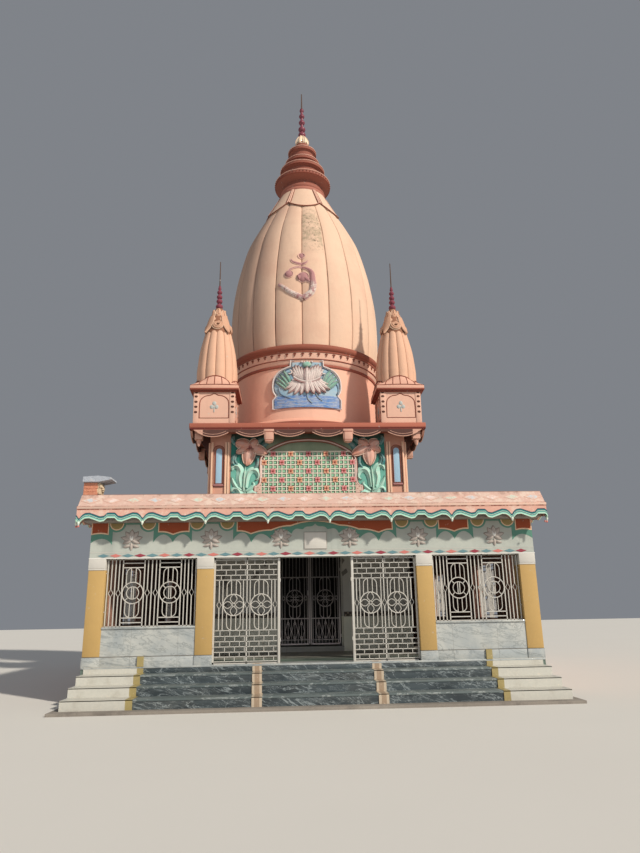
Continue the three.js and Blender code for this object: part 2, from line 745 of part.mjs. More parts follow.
// Scalloped lip under one edge of the slab, with hanging blocks between its scallops
function scallops() {
  const start = (-SCALLOP_PITCH * SCALLOP_COUNT) / 2;
  const shape = new THREE.Shape();
  shape.moveTo(start, TOWER_TOP_Z + FUSE);
  shape.lineTo(start, TOWER_TOP_Z - SCALLOP_LIP);
  for (let i = 0; i < SCALLOP_COUNT; i += 1) {
    const from = start + i * SCALLOP_PITCH;
    const low = TOWER_TOP_Z - 2 * SCALLOP_DROP;
    shape.quadraticCurveTo(from + SCALLOP_PITCH / 2, low, from + SCALLOP_PITCH, TOWER_TOP_Z - SCALLOP_LIP);
  }
  shape.lineTo(-start, TOWER_TOP_Z + FUSE);
  const lip = plate(shape, -SLAB_HALF, -SLAB_HALF + SCALLOP_THICK);
  const hanging = [-1, 1].map((side) => {
    const { x, half, depth, z } = HANGING_BLOCK;
    const drop = new THREE.Shape();
    drop.moveTo(side * x + half, TOWER_TOP_Z + FUSE);
    drop.lineTo(side * x - half, TOWER_TOP_Z + FUSE);
    drop.lineTo(side * x - half, z + half);
    drop.absarc(side * x, z + half, half, Math.PI, 2 * Math.PI);
    return plate(drop, -SLAB_HALF + FUSE, -SLAB_HALF + depth);
  });
  return [lip, ...hanging];
}

// Square pendant with a turned bud, under one corner of the slab
function pendant(x, y) {
  const { half, z, budR, tipZ } = PENDANT;
  const bud = [[0, z + FUSE], [budR, z + FUSE], [budR, z - budR], [budR / 2, tipZ + budR / 2], [0, tipZ]];
  return [
    block(x - half, x + half, y - half, y + half, z, TOWER_TOP_Z + FUSE),
    turned(bud.reverse(), TIP_STEPS).translate(x, y, 0),
  ];
}

// Hollow-faced bracket between the slab and a side wall, at one end of that wall
function bracket(side, end) {
  const { reach, footZ, width } = BRACKET;
  const from = side * (TOWER_HALF + STRIP_PROUD + RUNNING_GAP);
  const tip = side * (TOWER_HALF + reach);
  const shape = new THREE.Shape();
  shape.moveTo(from, footZ);
  shape.lineTo(from, TOWER_TOP_Z + FUSE);
  shape.lineTo(tip, TOWER_TOP_Z + FUSE);
  shape.quadraticCurveTo(from + (tip - from) / 4, TOWER_TOP_Z - (TOWER_TOP_Z - footZ) / 4, from, footZ);
  const [y0, y1] = ordered(end * TOWER_HALF, end * (TOWER_HALF - width));
  return plate(shape, y0, y1);
}

function addEaveSlab() {
  const forms = [block(-SLAB_HALF, SLAB_HALF, -SLAB_HALF, SLAB_HALF, TOWER_TOP_Z, SLAB_TOP_Z)];
  for (const quarter of [0, 1, 2, 3]) {
    forms.push(...scallops().map((form) => form.rotateZ((quarter * Math.PI) / 2)));
  }
  for (const side of [-1, 1]) {
    for (const end of [-1, 1]) {
      forms.push(...pendant(side * PENDANT.offset, end * PENDANT.offset), bracket(side, end));
    }
  }
  addPart('eave_slab', onAxis(joined(forms)), 'terracotta');
}

function addDrum() {
  const inner = DRUM_R - DRUM_WALL;
  const drum = turned([
    [inner, SLAB_TOP_Z],
    [DRUM_R + DRUM_FOOT_PROUD, SLAB_TOP_Z],
    [DRUM_R + DRUM_FOOT_PROUD, DRUM_FOOT_Z],
    [DRUM_R, DRUM_FOOT_Z],
    [DRUM_R, DRUM_TOP_Z],
    [inner, DRUM_TOP_Z],
    [inner, SLAB_TOP_Z],
  ], DRUM_STEPS);
  addPart('drum', onAxis(drum), 'salmon');
}

// Mouldings of the ring cornice: how far each line stands out from the drum, and its rise from the drum's top
const RING_MOULDINGS = [
  [0, 0],
  [60, 30],
  [60, 100],
  [20, 130],
  [20, 210],
  [110, 240],
  [110, 330],
  [200, 400],
];

function addRingCornice() {
  const inner = DRUM_R - DRUM_WALL;
  const profile = [[inner, DRUM_TOP_Z]];
  for (const [proud, rise] of RING_MOULDINGS) {
    profile.push([DRUM_R + proud, DRUM_TOP_Z + rise]);
  }
  const [widest] = RING_MOULDINGS[RING_MOULDINGS.length - 1];
  profile.push([DRUM_R + widest, RING_TOP_Z], [inner, RING_TOP_Z], [inner, DRUM_TOP_Z]);
  addPart('ring_cornice', onAxis(turned(profile, DRUM_STEPS)), 'terracotta');
}

// Lotus panel: a plate with a tab and round shoulders, bent round the drum's front
function addLotusPanel() {
  const { half, waist, tab, z0, waistZ, shoulderZ, topZ, proud } = PANEL;
  const bulge = (shoulderZ + waistZ) / 2;
  const rounding = (shoulderZ + 3 * topZ) / 4;
  const shape = new THREE.Shape();
  shape.moveTo(-half, z0);
  shape.lineTo(half, z0);
  shape.lineTo(half, waistZ - (half - waist));
  shape.lineTo(waist, waistZ);
  shape.quadraticCurveTo(half, bulge, half, shoulderZ);
  shape.quadraticCurveTo((half + tab) / 2 + (half - waist), rounding, tab, topZ);
  shape.lineTo(-tab, topZ);
  shape.quadraticCurveTo(-(half + tab) / 2 - (half - waist), rounding, -half, shoulderZ);
  shape.quadraticCurveTo(-half, bulge, -waist, waistZ);
  shape.lineTo(-half, waistZ - (half - waist));
  const face = plate(shape, -2 * DRUM_R, 0);
  const inner = DRUM_R + RUNNING_GAP;
  const outer = DRUM_R + proud;
  const low = DRUM_FOOT_Z + RUNNING_GAP;
  const skin = turned([
    [inner, low],
    [outer, low],
    [outer, DRUM_TOP_Z],
    [inner, DRUM_TOP_Z],
    [inner, low],
  ], DRUM_STEPS);
  addPart('lotus_panel', onAxis(common(face, skin)), 'aqua');
}

// Dome: a shell of shallow round lobes with sharp seams, one seam a little left of the front

function lobed(geometry, lobes, depth) {
  const position = geometry.attributes.position;
  for (let i = 0; i < position.count; i += 1) {
    const x = position.getX(i);
    const y = position.getY(i);
    const angle = Math.atan2(y, x) * lobes;
    const bulge = Math.abs(Math.sin((angle - (Math.PI / 2) * lobes) / 2));
    const scale = 1 - depth * (1 - bulge ** LOBE_POWER);
    position.setXY(i, x * scale, y * scale);
  }
  return geometry;
}

const DOME_PROFILE = [
  [2330, RING_TOP_Z],
  [2395, 9900],
  [2385, 10700],
  [2310, 11500],
  [2182, 12200],
  [1910, 13200],
  [1540, 14000],
  [1270, DOME_TOP_Z],
];

function addDome() {
  const everyOther = DOME_PROFILE.filter((unused, i) => i % 2 === 1 || i === 0);
  const inside = everyOther.map(([r, z]) => [r * (1 - LOBE_DEPTH) - DOME_WALL, z]);
  const profile = [...DOME_PROFILE, ...inside.reverse(), DOME_PROFILE[0]];
  const shell = lobed(turned(profile, DOME_STEPS), DOME_LOBES, LOBE_DEPTH);
  shell.rotateZ(THREE.MathUtils.degToRad(DOME_SEAM_TURN));
  addPart('dome', onAxis(shell), 'cream');
  const collar = COLLAR_PROFILE.map(([r, rise]) => [r, DOME_TOP_Z + rise]);
  const closedCollar = [[0, DOME_TOP_Z], ...collar, [NECK_R, NECK_Z], [0, NECK_Z]];
  addPart('dome_collar', onAxis(turned(closedCollar, FINIAL_STEPS)), 'cream');
}

// Finial: stacked rings, then a lotus bud, beads and a rod

// Stacked rings: radius, lower edge and upper edge of each rim
const FINIAL_TIERS = [
  [960, 15960, 16110],
  [770, 16500, 16640],
  [590, 16880, 17000],
  [490, 17340, 17460],
];
const RIM_SLOPE = 60;
const RIM_TAPER = 0.84;

// Beads on the tip: radius and middle height
const FINIAL_BEADS = [
  [136, 18278],
  [137, 18520],
  [119, 18820],
  [106, 19100],
  [86, 19345],
];
const BUD = [[226, 0], [200, 140], [110, 360]];
const ROD = { r: 30, tipR: 18, z: 19440, topZ: 20100 };

function addFinial() {
  const profile = [[0, NECK_Z], [NECK_R, NECK_Z]];
  for (const [r, z0, z1] of FINIAL_TIERS) {
    profile.push([r, z0], [r, z1], [r * RIM_TAPER, z1 + RIM_SLOPE]);
  }
  profile.push([BUD[0][0], RINGS_TOP_Z], [0, RINGS_TOP_Z]);
  addPart('finial_rings', onAxis(turned(profile, FINIAL_STEPS)), 'terracotta');
  const stem = [[0, RINGS_TOP_Z], ...BUD.map(([r, rise]) => [r, RINGS_TOP_Z + rise])];
  for (const [r, z] of FINIAL_BEADS) {
    stem.push([r * 0.55, z - r * 0.85], [r, z - r * 0.35], [r, z + r * 0.35], [r * 0.55, z + r * 0.85]);
  }
  stem.push([ROD.r, ROD.z], [ROD.tipR, ROD.topZ], [0, ROD.topZ]);
  addPart('finial_beads', onAxis(turned(stem, BEAD_STEPS)), 'maroon');
}

// Corner turrets

// Ribbed spire: radius and height above the cornice
const SPIRE_PROFILE = [
  [585, 0],
  [580, 400],
  [565, 600],
  [500, 1160],
  [375, 1680],
];

// Leaf hood, beads and rod: radius and height above the spire
const TIP_PROFILE = [
  [390, -20],
  [400, 100],
  [290, 430],
  [135, 790],
  [110, 880],
  [110, 1020],
  [70, 1070],
  [100, 1120],
  [100, 1240],
  [60, 1290],
  [85, 1340],
  [85, 1440],
  [50, 1490],
  [65, 1570],
  [15, 1630],
  [15, 2380],
];

// Closes a profile of radius and rise onto the axis at both ends
function closedProfile(profile, base) {
  const raised = profile.map(([r, rise]) => [r, base + rise]);
  return [[0, raised[0][1]], ...raised, [0, raised[raised.length - 1][1]]];
}

// Hipped cap on a turret's cornice, whose hips are rounded off by a cone
function turretCap() {
  const { foot, top, rise, coneFoot, coneTop } = TURRET_CAP;
  const z0 = TURRET_CORNICE_Z - FUSE;
  const z1 = TURRET_CORNICE_Z + rise;
  const sides = turned([[0, z0], [foot * Math.SQRT2, z0], [top * Math.SQRT2, z1], [0, z1]], 4);
  sides.rotateZ(Math.PI / 4);
  const cone = turned([[0, z0], [coneFoot, z0], [coneTop, z1], [0, z1]], TURRET_RIBS * 2);
  return common(sides, cone);
}

function turret() {
  const box = block(-TURRET_HALF, TURRET_HALF, -TURRET_HALF, TURRET_HALF, SLAB_TOP_Z, TURRET_BOX_Z);
  const half = TURRET_CORNICE_HALF;
  const cornice = block(-half, half, -half, half, TURRET_BOX_Z, TURRET_CORNICE_Z);
  const spire = turned(closedProfile(SPIRE_PROFILE, TURRET_CORNICE_Z - FUSE), TURRET_RIBS * 2);
  const tip = turned(closedProfile(TIP_PROFILE, SPIRE_TOP_Z), TIP_STEPS);
  return joined([box, cornice, turretCap(), lobed(spire, TURRET_RIBS, TURRET_RIB_DEPTH), tip]);
}

function addTurrets() {
  for (const [row, deep] of [['front', -1], ['rear', 1]]) {
    for (const [word, side] of [['left', -1], ['right', 1]]) {
      const mesh = addPart(`${row}_${word}_turret`, turret(), 'salmon');
      mesh.position.set(side * TURRET_OFFSET, AXIS_Y + deep * TURRET_OFFSET, 0);
    }
  }
}

addBase();
addFront();
addWalls();
addRoof();
addEaves();
addRoofPier();
addTowerWalls();
addGate();
addEaveSlab();
addDrum();
addRingCornice();
addLotusPanel();
addDome();
addFinial();
addTurrets();

export default temple;
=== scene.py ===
import math

import bmesh
import bpy
from bpy.props import FloatProperty, FloatVectorProperty, IntProperty, PointerProperty
from mathutils import Matrix, Vector


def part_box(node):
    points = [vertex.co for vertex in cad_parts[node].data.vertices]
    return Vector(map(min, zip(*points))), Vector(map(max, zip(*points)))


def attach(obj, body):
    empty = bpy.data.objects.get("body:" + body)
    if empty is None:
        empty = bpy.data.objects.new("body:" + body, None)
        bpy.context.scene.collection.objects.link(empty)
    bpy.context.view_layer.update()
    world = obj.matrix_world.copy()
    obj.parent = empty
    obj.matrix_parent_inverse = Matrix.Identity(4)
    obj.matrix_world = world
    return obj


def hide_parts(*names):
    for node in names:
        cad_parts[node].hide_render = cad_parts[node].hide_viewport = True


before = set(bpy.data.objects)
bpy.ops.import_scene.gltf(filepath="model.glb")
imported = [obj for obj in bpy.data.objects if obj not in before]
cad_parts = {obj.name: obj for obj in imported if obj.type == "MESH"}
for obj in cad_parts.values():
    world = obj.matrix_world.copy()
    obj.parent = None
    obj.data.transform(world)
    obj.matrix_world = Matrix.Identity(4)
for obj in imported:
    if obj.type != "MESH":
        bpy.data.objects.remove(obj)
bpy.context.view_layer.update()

bl_info = {
    "name": "Ribbed Dome Temple",
    "version": (1, 0, 0),
    "blender": (4, 5, 0),
    "location": "View3D > Sidebar > Temple",
    "description": "Dresses a hall, tower, ribbed dome and corner turrets with carving, paint and wear",
    "category": "Add Mesh",
}


def lowest(node):
    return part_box(node)[0]


def highest(node):
    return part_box(node)[1]


def middle(node):
    return (lowest(node) + highest(node)) / 2


# Places read from the frame, in metres
HALL_FRONT_Y = lowest("front_beam").y
HALL_BACK_Y = highest("rear_wall").y
HALL_HALF = highest("plinth").x
HALL_MID_Y = (HALL_FRONT_Y + HALL_BACK_Y) / 2
FLOOR_Z = highest("plinth").z
SILL_Z = highest("left_window_dado").z
BEAM_Z = lowest("front_beam").z
EAVE_FRONT_Y = lowest("front_eave").y
EAVE_BACK_Y = highest("rear_eave").y
EAVE_HALF = highest("front_eave").x
COPING_Z = highest("front_eave").z
WAVE_TIP_Z = lowest("front_eave").z
AXIS_Y = middle("dome").y
TOWER_FACE = AXIS_Y - lowest("tower_front_wall").y
SLAB_Z = highest("eave_slab").z
SLAB_HALF = highest("eave_slab").x
NECK_Z = highest("dome_collar").z
RINGS_TOP_Z = highest("finial_rings").z
TIP_Z = highest("finial_beads").z
GATE_Y = lowest("left_gate_leaf").y
TOWER_LINE_Y = lowest("tower_front_left").y
AXIS = (0, AXIS_Y)
SIDES = (-1, 1)
QUARTERS = (0, 90, 180, 270)

# Heights that the built nodes don't give: the marble base course's top, the pilasters' blocks, the ceiling
# and the coping's foot; and how far from the tower's axis its inner faces are painted dark as shade
BASE_TOP_Z = 0.832
PILASTER_BLOCK_Z = 2.50
CEILING_Z = 3.60
COPING_FOOT_Z = 3.641
INNER_SHADE_REACH = 2.55

# Faces round turned forms
WALL_STEPS = 96
RING_STEPS = 128


def shown(red, green, blue):
    """Scene-linear colour of a paint that is given in display values from 0 to 255."""
    linear = []
    for value in (red, green, blue):
        value /= 255
        linear.append(value / 12.92 if value <= 0.04045 else ((value + 0.055) / 1.055) ** 2.4)
    return tuple(linear)


# Paints of the small painted forms, as each piece carries them in its Tint attribute
SALMON = shown(214, 160, 138)
DRUM_SALMON = shown(236, 176, 152)
CREAM = shown(226, 190, 158)
ROSE = shown(226, 184, 172)
PALE_PINK = shown(232, 205, 194)
TERRACOTTA = shown(178, 104, 84)
RED_BROWN = shown(134, 68, 52)
SLAB_SHADOW_RED = shown(104, 40, 34)
MAUVE = shown(176, 128, 128)
WHITE = shown(226, 224, 218)
WORN_WHITE = shown(206, 202, 194)
FRIEZE_GREY = shown(166, 174, 168)
ORANGE = shown(152, 72, 42)
OLIVE = shown(150, 130, 84)
BAND_GREEN = shown(92, 138, 122)
TEAL = shown(42, 122, 122)
MINT = shown(132, 200, 182)
PALE_MINT = shown(196, 224, 204)
DEEP_GREEN = shown(34, 88, 76)
NAVY = shown(38, 52, 84)
SKY = shown(150, 186, 206)
PALE_BLUE = shown(182, 206, 218)
WATER_BLUE = shown(92, 136, 196)
STEEL_BLUE = shown(104, 140, 148)
RUST_RED = shown(150, 60, 48)
CORAL = shown(206, 124, 116)
OCHRE = shown(192, 158, 100)
GOLD_STONE = shown(166, 150, 100)
BAND_GREY = shown(92, 84, 76)
CREAM_STONE = shown(200, 184, 162)
DARK_STONE = shown(96, 74, 64)
BRICK = shown(206, 138, 110)
DOME_CREAM = shown(228, 193, 167)
LINE_BROWN = shown(158, 88, 72)
RUST_BROWN = shown(140, 72, 56)
CAP_ROSE = shown(224, 172, 150)
MAROON = shown(132, 64, 78)
MAROON_RED = shown(152, 62, 76)
COPING_CREAM = shown(215, 184, 167)
BROWN_STONE = shown(166, 144, 122)
PALE_STONE = shown(202, 200, 190)
CAP_GREY = shown(176, 182, 192)
BROKEN_CREAM = shown(212, 190, 160)
COPING_ROSE = shown(206, 168, 152)
COPING_PALE = shown(222, 203, 191)
FADED_BLUE = shown(196, 206, 212)
FADED_MINT = shown(200, 216, 200)
RELIEF_GREY = shown(178, 168, 160)
RELIEF_SHADOW = shown(142, 128, 120)
LATTICE_CREAM = shown(230, 222, 202)
LATTICE_DARK = shown(84, 118, 92)
SQUARE_GREEN = shown(156, 208, 170)
ROSETTE_PINK = shown(220, 142, 142)
RIM_MINT = shown(196, 226, 206)
FLOWER_BROWN = shown(224, 158, 136)
FLOWER_SHADOW = shown(134, 80, 64)
# Painted shade inside the tower and inside the hall
TOWER_INSIDE_SHADE = shown(46, 42, 42)
HALL_INDOOR_SHADE = shown(84, 60, 54)
TIP_WHITE = shown(220, 228, 214)
ROSETTE_ORANGE = shown(224, 166, 134)
FLOWER_RIM = shown(240, 206, 184)
LEAF_MINT = shown(168, 224, 206)
STRIP_CREAM = shown(240, 198, 168)
NICHE_BLUE = shown(166, 200, 222)
LIP_PINK = shown(214, 166, 146)
NECK_PINK = shown(176, 112, 95)
RING_BROWN = shown(148, 88, 72)
RING_RED = shown(150, 86, 68)
LEAF_GREEN = shown(126, 184, 164)
STEM_BLUE = shown(112, 146, 172)
RISER_RED = shown(130, 55, 45)
RIM_PINK = shown(224, 172, 152)
RIM_WHITE = shown(230, 214, 208)
BUD_GOLD = shown(246, 224, 192)
FOOT_RED = shown(150, 88, 72)
BAND_PEACH = shown(228, 182, 160)
SPIRE_CREAM = shown(222, 176, 148)
# Painted shade in notches and gaps
NOTCH_SHADE_BROWN = shown(92, 56, 44)
FAINT_GREEN = shown(184, 188, 184)
HOOD_BROWN = shown(150, 102, 78)
HOOD_CREAM = shown(206, 160, 132)
HOOD_RIM = shown(230, 194, 166)


# Shader fields: values that vary over a surface


class Field:
    """A value over a surface. Python's operators on it add Math nodes to its finish."""

    def __init__(self, finish, socket):
        self.finish = finish
        self.socket = socket

    def sum(self, operation, *values):
        made = self.finish.node("ShaderNodeMath", {"operation": operation}, values)
        return Field(self.finish, made.outputs[0])

    def __add__(self, other):
        return self.sum("ADD", self, other)

    def __radd__(self, other):
        return self.sum("ADD", other, self)

    def __sub__(self, other):
        return self.sum("SUBTRACT", self, other)

    def __rsub__(self, other):
        return self.sum("SUBTRACT", other, self)

    def __mul__(self, other):
        return self.sum("MULTIPLY", self, other)

    def __truediv__(self, other):
        return self.sum("DIVIDE", self, other)

    def __abs__(self):
        return self.sum("ABSOLUTE", self)

    def most(self, other):
        return self.sum("MAXIMUM", self, other)

    def least(self, other):
        return self.sum("MINIMUM", self, other)

    def over(self, low, high):
        """0 below low, 1 above high and smooth between; it falls instead where low is the greater."""
        names = {"From Min": low, "From Max": high}
        settings = {"interpolation_type": "SMOOTHSTEP", "clamp": True}
        made = self.finish.node("ShaderNodeMapRange", settings, {"Value": self, **names})
        return Field(self.finish, made.outputs["Result"])


class Finish:
    """A material under construction, with the few kinds of node that paint, stone and steel need."""

    def __init__(self, name):
        self.material = bpy.data.materials.new(name)
        self.material.use_nodes = True
        self.tree = self.material.node_tree
        self.tree.nodes.clear()
        self.point = self.node("ShaderNodeTexCoord").outputs["Object"]
        apart = self.node("ShaderNodeSeparateXYZ", inputs=[self.point])
        self.x, self.y, self.z = (Field(self, out) for out in apart.outputs)

    def node(self, kind, settings=None, inputs=()):
        """Any node: its settings first, then its sockets, each given a number, a field or another socket."""
        made = self.tree.nodes.new(kind)
        for key, value in (settings or {}).items():
            setattr(made, key, value)
        pairs = inputs.items() if isinstance(inputs, dict) else enumerate(inputs)
        for key, value in pairs:
            self.feed(made.inputs[key], value)
        return made

    def feed(self, socket, value):
        if isinstance(value, Field):
            value = value.socket
        if isinstance(value, bpy.types.NodeSocket):
            self.tree.links.new(value, socket)
        elif socket.type == "RGBA" and len(value) == 3:
            socket.default_value = (*value, 1.0)
        else:
            socket.default_value = value

    def stretched(self, *scale):
        """The surface point with each axis scaled, for grain that runs one way."""
        return self.node("ShaderNodeMapping", inputs={"Vector": self.point, "Scale": scale}).outputs[0]

    def noise(self, scale, detail=4.0, roughness=0.55, at=None, warp=0.0):
        inputs = {"Vector": at or self.point, "Scale": scale, "Detail": detail, "Roughness": roughness}
        made = self.node("ShaderNodeTexNoise", inputs={**inputs, "Distortion": warp})
        return Field(self, made.outputs["Fac"])

    def around(self, seam):
        """Angle about the tower's axis in degrees from the seam's, growing to the right of the front."""
        turn = self.x.sum("ARCTAN2", self.x, AXIS_Y - self.y)
        return turn * math.degrees(1.0) - seam

    def tint(self):
        return self.node("ShaderNodeAttribute", {"attribute_name": "Tint"}).outputs["Color"]

    def blend(self, factor, under, over):
        """Over laid on under, by a factor from 0 to 1."""
        return self.node("ShaderNodeMix", {"data_type": "RGBA"}, {0: factor, 6: under, 7: over}).outputs[2]

    def shaded(self, colour, share):
        """A colour made lighter or darker by a field that is around 1."""
        settings = {"operation": "SCALE"}
        return self.node("ShaderNodeVectorMath", settings, {0: colour, "Scale": share}).outputs[0]

    def crevices(self, reach):
        """1 in the open, falling towards 0 in corners that are closer than reach."""
        settings = {"samples": 6, "only_local": False}
        made = self.node("ShaderNodeAmbientOcclusion", settings, {"Distance": reach})
        return Field(self, made.outputs["AO"])

    def done(self, colour, roughness, height=None, depth=0.01, coat=0.0):
        """The material, with its bump from a height that stands for the depth in metres."""
        shader = self.node("ShaderNodeBsdfPrincipled", inputs={"Base Color": colour, "Roughness": roughness})
        shader.inputs["Coat Weight"].default_value = coat
        shader.inputs["Specular IOR Level"].default_value = 0.35
        if height is not None:
            bump = self.node("ShaderNodeBump", inputs={"Height": height, "Distance": depth, "Strength": 1.0})
            self.feed(shader.inputs["Normal"], bump.outputs[0])
        self.node("ShaderNodeOutputMaterial", inputs={"Surface": shader.outputs[0]})
        return self.material


FINISHES = {}


def finish(make):
    """The material that a function makes, made the first time that it's asked for."""
    if make not in FINISHES:
        FINISHES[make] = make()
    return FINISHES[make]


def weathered(work, colour, streak, mottle, corner_shade_and_grime, shade_and_grime_colour=DARK_STONE):
    """Mottled paint with rain streaks, and painted shade with grime darkening its corners. Returns colour,
    height and fine grain.
    """
    broad = work.noise(0.7, 5.0, 0.6)
    fine = work.noise(9.0, 6.0, 0.65)
    colour = work.shaded(colour, 1.0 + (broad - 0.5) * 2 * mottle + (fine - 0.5) * mottle)
    runs = work.noise(1.0, 6.0, 0.6, work.stretched(3.2, 3.2, 0.22))
    patch = work.noise(0.45, 3.0, 0.5)
    streaks = runs.over(0.52, 0.72) * patch.over(0.42, 0.62) * streak
    colour = work.blend(streaks, colour, work.shaded(colour, 0.5 + fine * 0.2))
    # Painted shade and grime: corners darken by how enclosed they are
    corner = (1.0 - work.crevices(0.25)).over(0.25, 0.95) * corner_shade_and_grime
    colour = work.blend(corner * (0.6 + fine * 0.6), colour, shade_and_grime_colour)
    specks = work.noise(46.0, 3.0, 0.7).over(0.68, 0.76) * work.noise(2.1, 2.0).over(0.5, 0.7)
    colour = work.blend(specks * 0.35, colour, DARK_STONE)
    height = work.noise(34.0, 6.0, 0.7) * 0.5 + fine * 0.8
    return colour, height, fine


def plastered(work, colour, rough, spread, depth, *wear):
    """The material of weathered paint with its painted corner shade, whose roughness grows by the spread with
    its fine grain.
    """
    colour, height, fine = weathered(work, colour, *wear)
    return work.done(colour, rough + fine * spread, height, depth)


def make_painted():
    """Painted carving: the colour comes from the piece's Tint attribute, and chips show the pale ground."""
    work = Finish("painted_carving")
    chips = work.noise(7.5, 6.0, 0.7).over(0.62, 0.68)
    colour = work.blend(chips * 0.45, work.tint(), WORN_WHITE)
    colour, height, fine = weathered(work, colour, 0.2, 0.1, 0.55)
    return work.done(colour, 0.68 + fine * 0.2, height + chips * -0.5, 0.004)


def make_salmon():
    """Salmon plaster, with painted shade inside the hall and on the tower's inner faces."""
    work = Finish("salmon_plaster")
    reach = abs(work.x).most(abs(work.y - AXIS_Y))
    inward = (HALL_HALF - abs(work.x)).least(HALL_BACK_Y - work.y)
    behind = work.y.over(HALL_FRONT_Y + 0.9, HALL_FRONT_Y + 1.4)
    # Painted shade on the walls inside the hall, below the ceiling
    indoor_shade = inward.over(0.12, 0.14) * work.z.over(CEILING_Z + 0.02, CEILING_Z - 0.02) * behind
    colour = work.blend(indoor_shade * 0.8, SALMON, HALL_INDOOR_SHADE)
    # Painted shade on the tower's inner faces
    colour = work.blend(reach.over(INNER_SHADE_REACH + 0.01, INNER_SHADE_REACH - 0.01), colour, TOWER_INSIDE_SHADE)
    return plastered(work, colour, 0.78, 0.15, 0.006, 0.3, 0.12, 0.45)


def make_stage():
    work = Finish("pale_floor")
    cloud = work.noise(0.3, 3.0)
    return work.done(work.shaded(shown(226, 223, 217), 0.98 + cloud * 0.04), 0.9)


def make_dome():
    """Cream plaster with rain runs, painted shade along its seams and down its left side, specks and lichen
    in the lobe right of the front seam.
    """
    work = Finish("dome_plaster")
    colour, height, fine = weathered(work, DOME_CREAM, 0.3, 0.09, 0.5, shown(120, 78, 62))
    mauve = work.noise(0.5, 4.0, 0.6).over(0.45, 0.7) * 0.3
    colour = work.blend(mauve, colour, shown(206, 150, 128))
    angle = work.around(DOME_SEAM)
    # Painted shade: a dark line down each seam's groove, patchy along its length
    seam = abs(angle.sum("SINE", angle * math.radians(LOBES / 2)))
    worn = 0.2 + work.noise(0.8, 5.0, 0.7).over(0.4, 0.62) * 0.45
    colour = work.blend(seam.over(0.09, 0.03) * worn, colour, shown(108, 66, 54))
    # Painted shade down the dome's left side, away from the key light
    shade = (angle + 4.0).over(0.0, -40.0) * 0.4
    colour = work.blend(shade, colour, shown(142, 108, 98))
    low = work.z.over(LICHEN["z0"], LICHEN["z0"] + 0.9)
    top = work.z.over(LICHEN["z1"] + 0.1, LICHEN["z1"] - 0.4)
    bed = low * top * angle.over(0.0, 1.5) * angle.over(360 / LOBES, 360 / LOBES - 2)
    moss = bed * (work.noise(3.2, 8.0, 0.78).over(0.40, 0.62) * 0.7 + 0.1)
    colour = work.blend(moss, colour, shown(164, 148, 122))
    dots = bed * work.noise(11.0, 6.0, 0.8).over(0.56, 0.63)
    stray = work.noise(4.6, 8.0, 0.85).over(0.68, 0.74) * work.z.over(11.0, 13.0)
    colour = work.blend(dots.most(stray * 0.8) * 0.75, colour, shown(78, 72, 60))
    return work.done(colour, 0.8 + fine * 0.12, height + dots * 0.6, 0.008)


def make_marble():
    work = Finish("veined_white_marble")
    drift = work.noise(1.6, 6.0, 0.65, warp=0.6)
    across = slanting(work, 0.5)
    vein = abs(work.noise(2.1, 8.0, 0.68, across, 1.0) - 0.5)
    speck = work.noise(9.0, 7.0, 0.75, across)
    colour = work.blend(drift.over(0.3, 0.7), shown(160, 167, 169), shown(196, 197, 191))
    colour = work.blend(speck.over(0.5, 0.62) * 0.35, colour, shown(160, 168, 170))
    colour = work.blend(vein.over(0.03, 0.0) * 0.5, colour, shown(104, 112, 114))
    colour = work.blend(speck.over(0.66, 0.72) * 0.5, colour, shown(112, 120, 122))
    slabs = edge_lines(work, work.x, 0.9).most(edge_lines(work, work.y, 0.9))
    colour = work.blend(slabs * 0.5, colour, shown(110, 104, 96))
    ledge = work.z.over(BASE_TOP_Z - 0.001, BASE_TOP_Z) * work.z.over(BASE_TOP_Z + 0.018, BASE_TOP_Z + 0.012)
    ledge *= work.y.over(HALL_FRONT_Y + 0.2, HALL_FRONT_Y + 0.1)
    colour = work.blend(ledge * 0.75, colour, shown(84, 76, 66))
    dirt = work.noise(3.0, 5.0, 0.7).over(0.55, 0.8) * 0.25
    colour = work.blend(dirt, colour, shown(150, 138, 118))
    return work.done(colour, 0.25 + drift * 0.25, work.noise(30.0, 3.0), 0.001, coat=0.2)


def slanting(work, slope):
    """The surface point drawn out along a line that falls to the right, for slanting veins."""
    down = work.z * 2.2 + work.x * slope
    return work.node("ShaderNodeCombineXYZ", inputs=[work.x * 0.7, work.y, down]).outputs[0]


def edge_lines(work, across, pitch):
    """1 on thin joint lines that repeat at the pitch."""
    turn = work.node("ShaderNodeMath", {"operation": "FRACT"}, [across / pitch + 100.0])
    off = abs(Field(work, turn.outputs[0]) - 0.5)
    return off.over(0.4955, 0.4985)


def make_dark_marble():
    """Slate-grey marble with long pale veins that run along the slab and slightly down."""
    work = Finish("dark_slate_marble")
    cloud = work.noise(2.0, 6.0, 0.6, work.stretched(0.5, 1.0, 1.8), 0.8)
    long_vein = abs(work.noise(1.5, 8.0, 0.62, slanting(work, 0.7), 0.9) - 0.5)
    fine = abs(work.noise(3.0, 7.0, 0.68, slanting(work, 0.35), 0.9) - 0.5)
    colour = work.blend(cloud.over(0.3, 0.7), shown(50, 58, 62), shown(76, 86, 90))
    colour = work.blend(long_vein.over(0.016, 0.0) * 0.65, colour, shown(176, 186, 188))
    colour = work.blend(fine.over(0.018, 0.0) * 0.5, colour, shown(150, 160, 162))
    dust = work.noise(1.3, 5.0, 0.7).over(0.45, 0.75) * 0.2
    colour = work.blend(dust, colour, shown(140, 138, 130))
    return work.done(colour, 0.3 + cloud * 0.25, work.noise(24.0, 3.0), 0.001, coat=0.15)


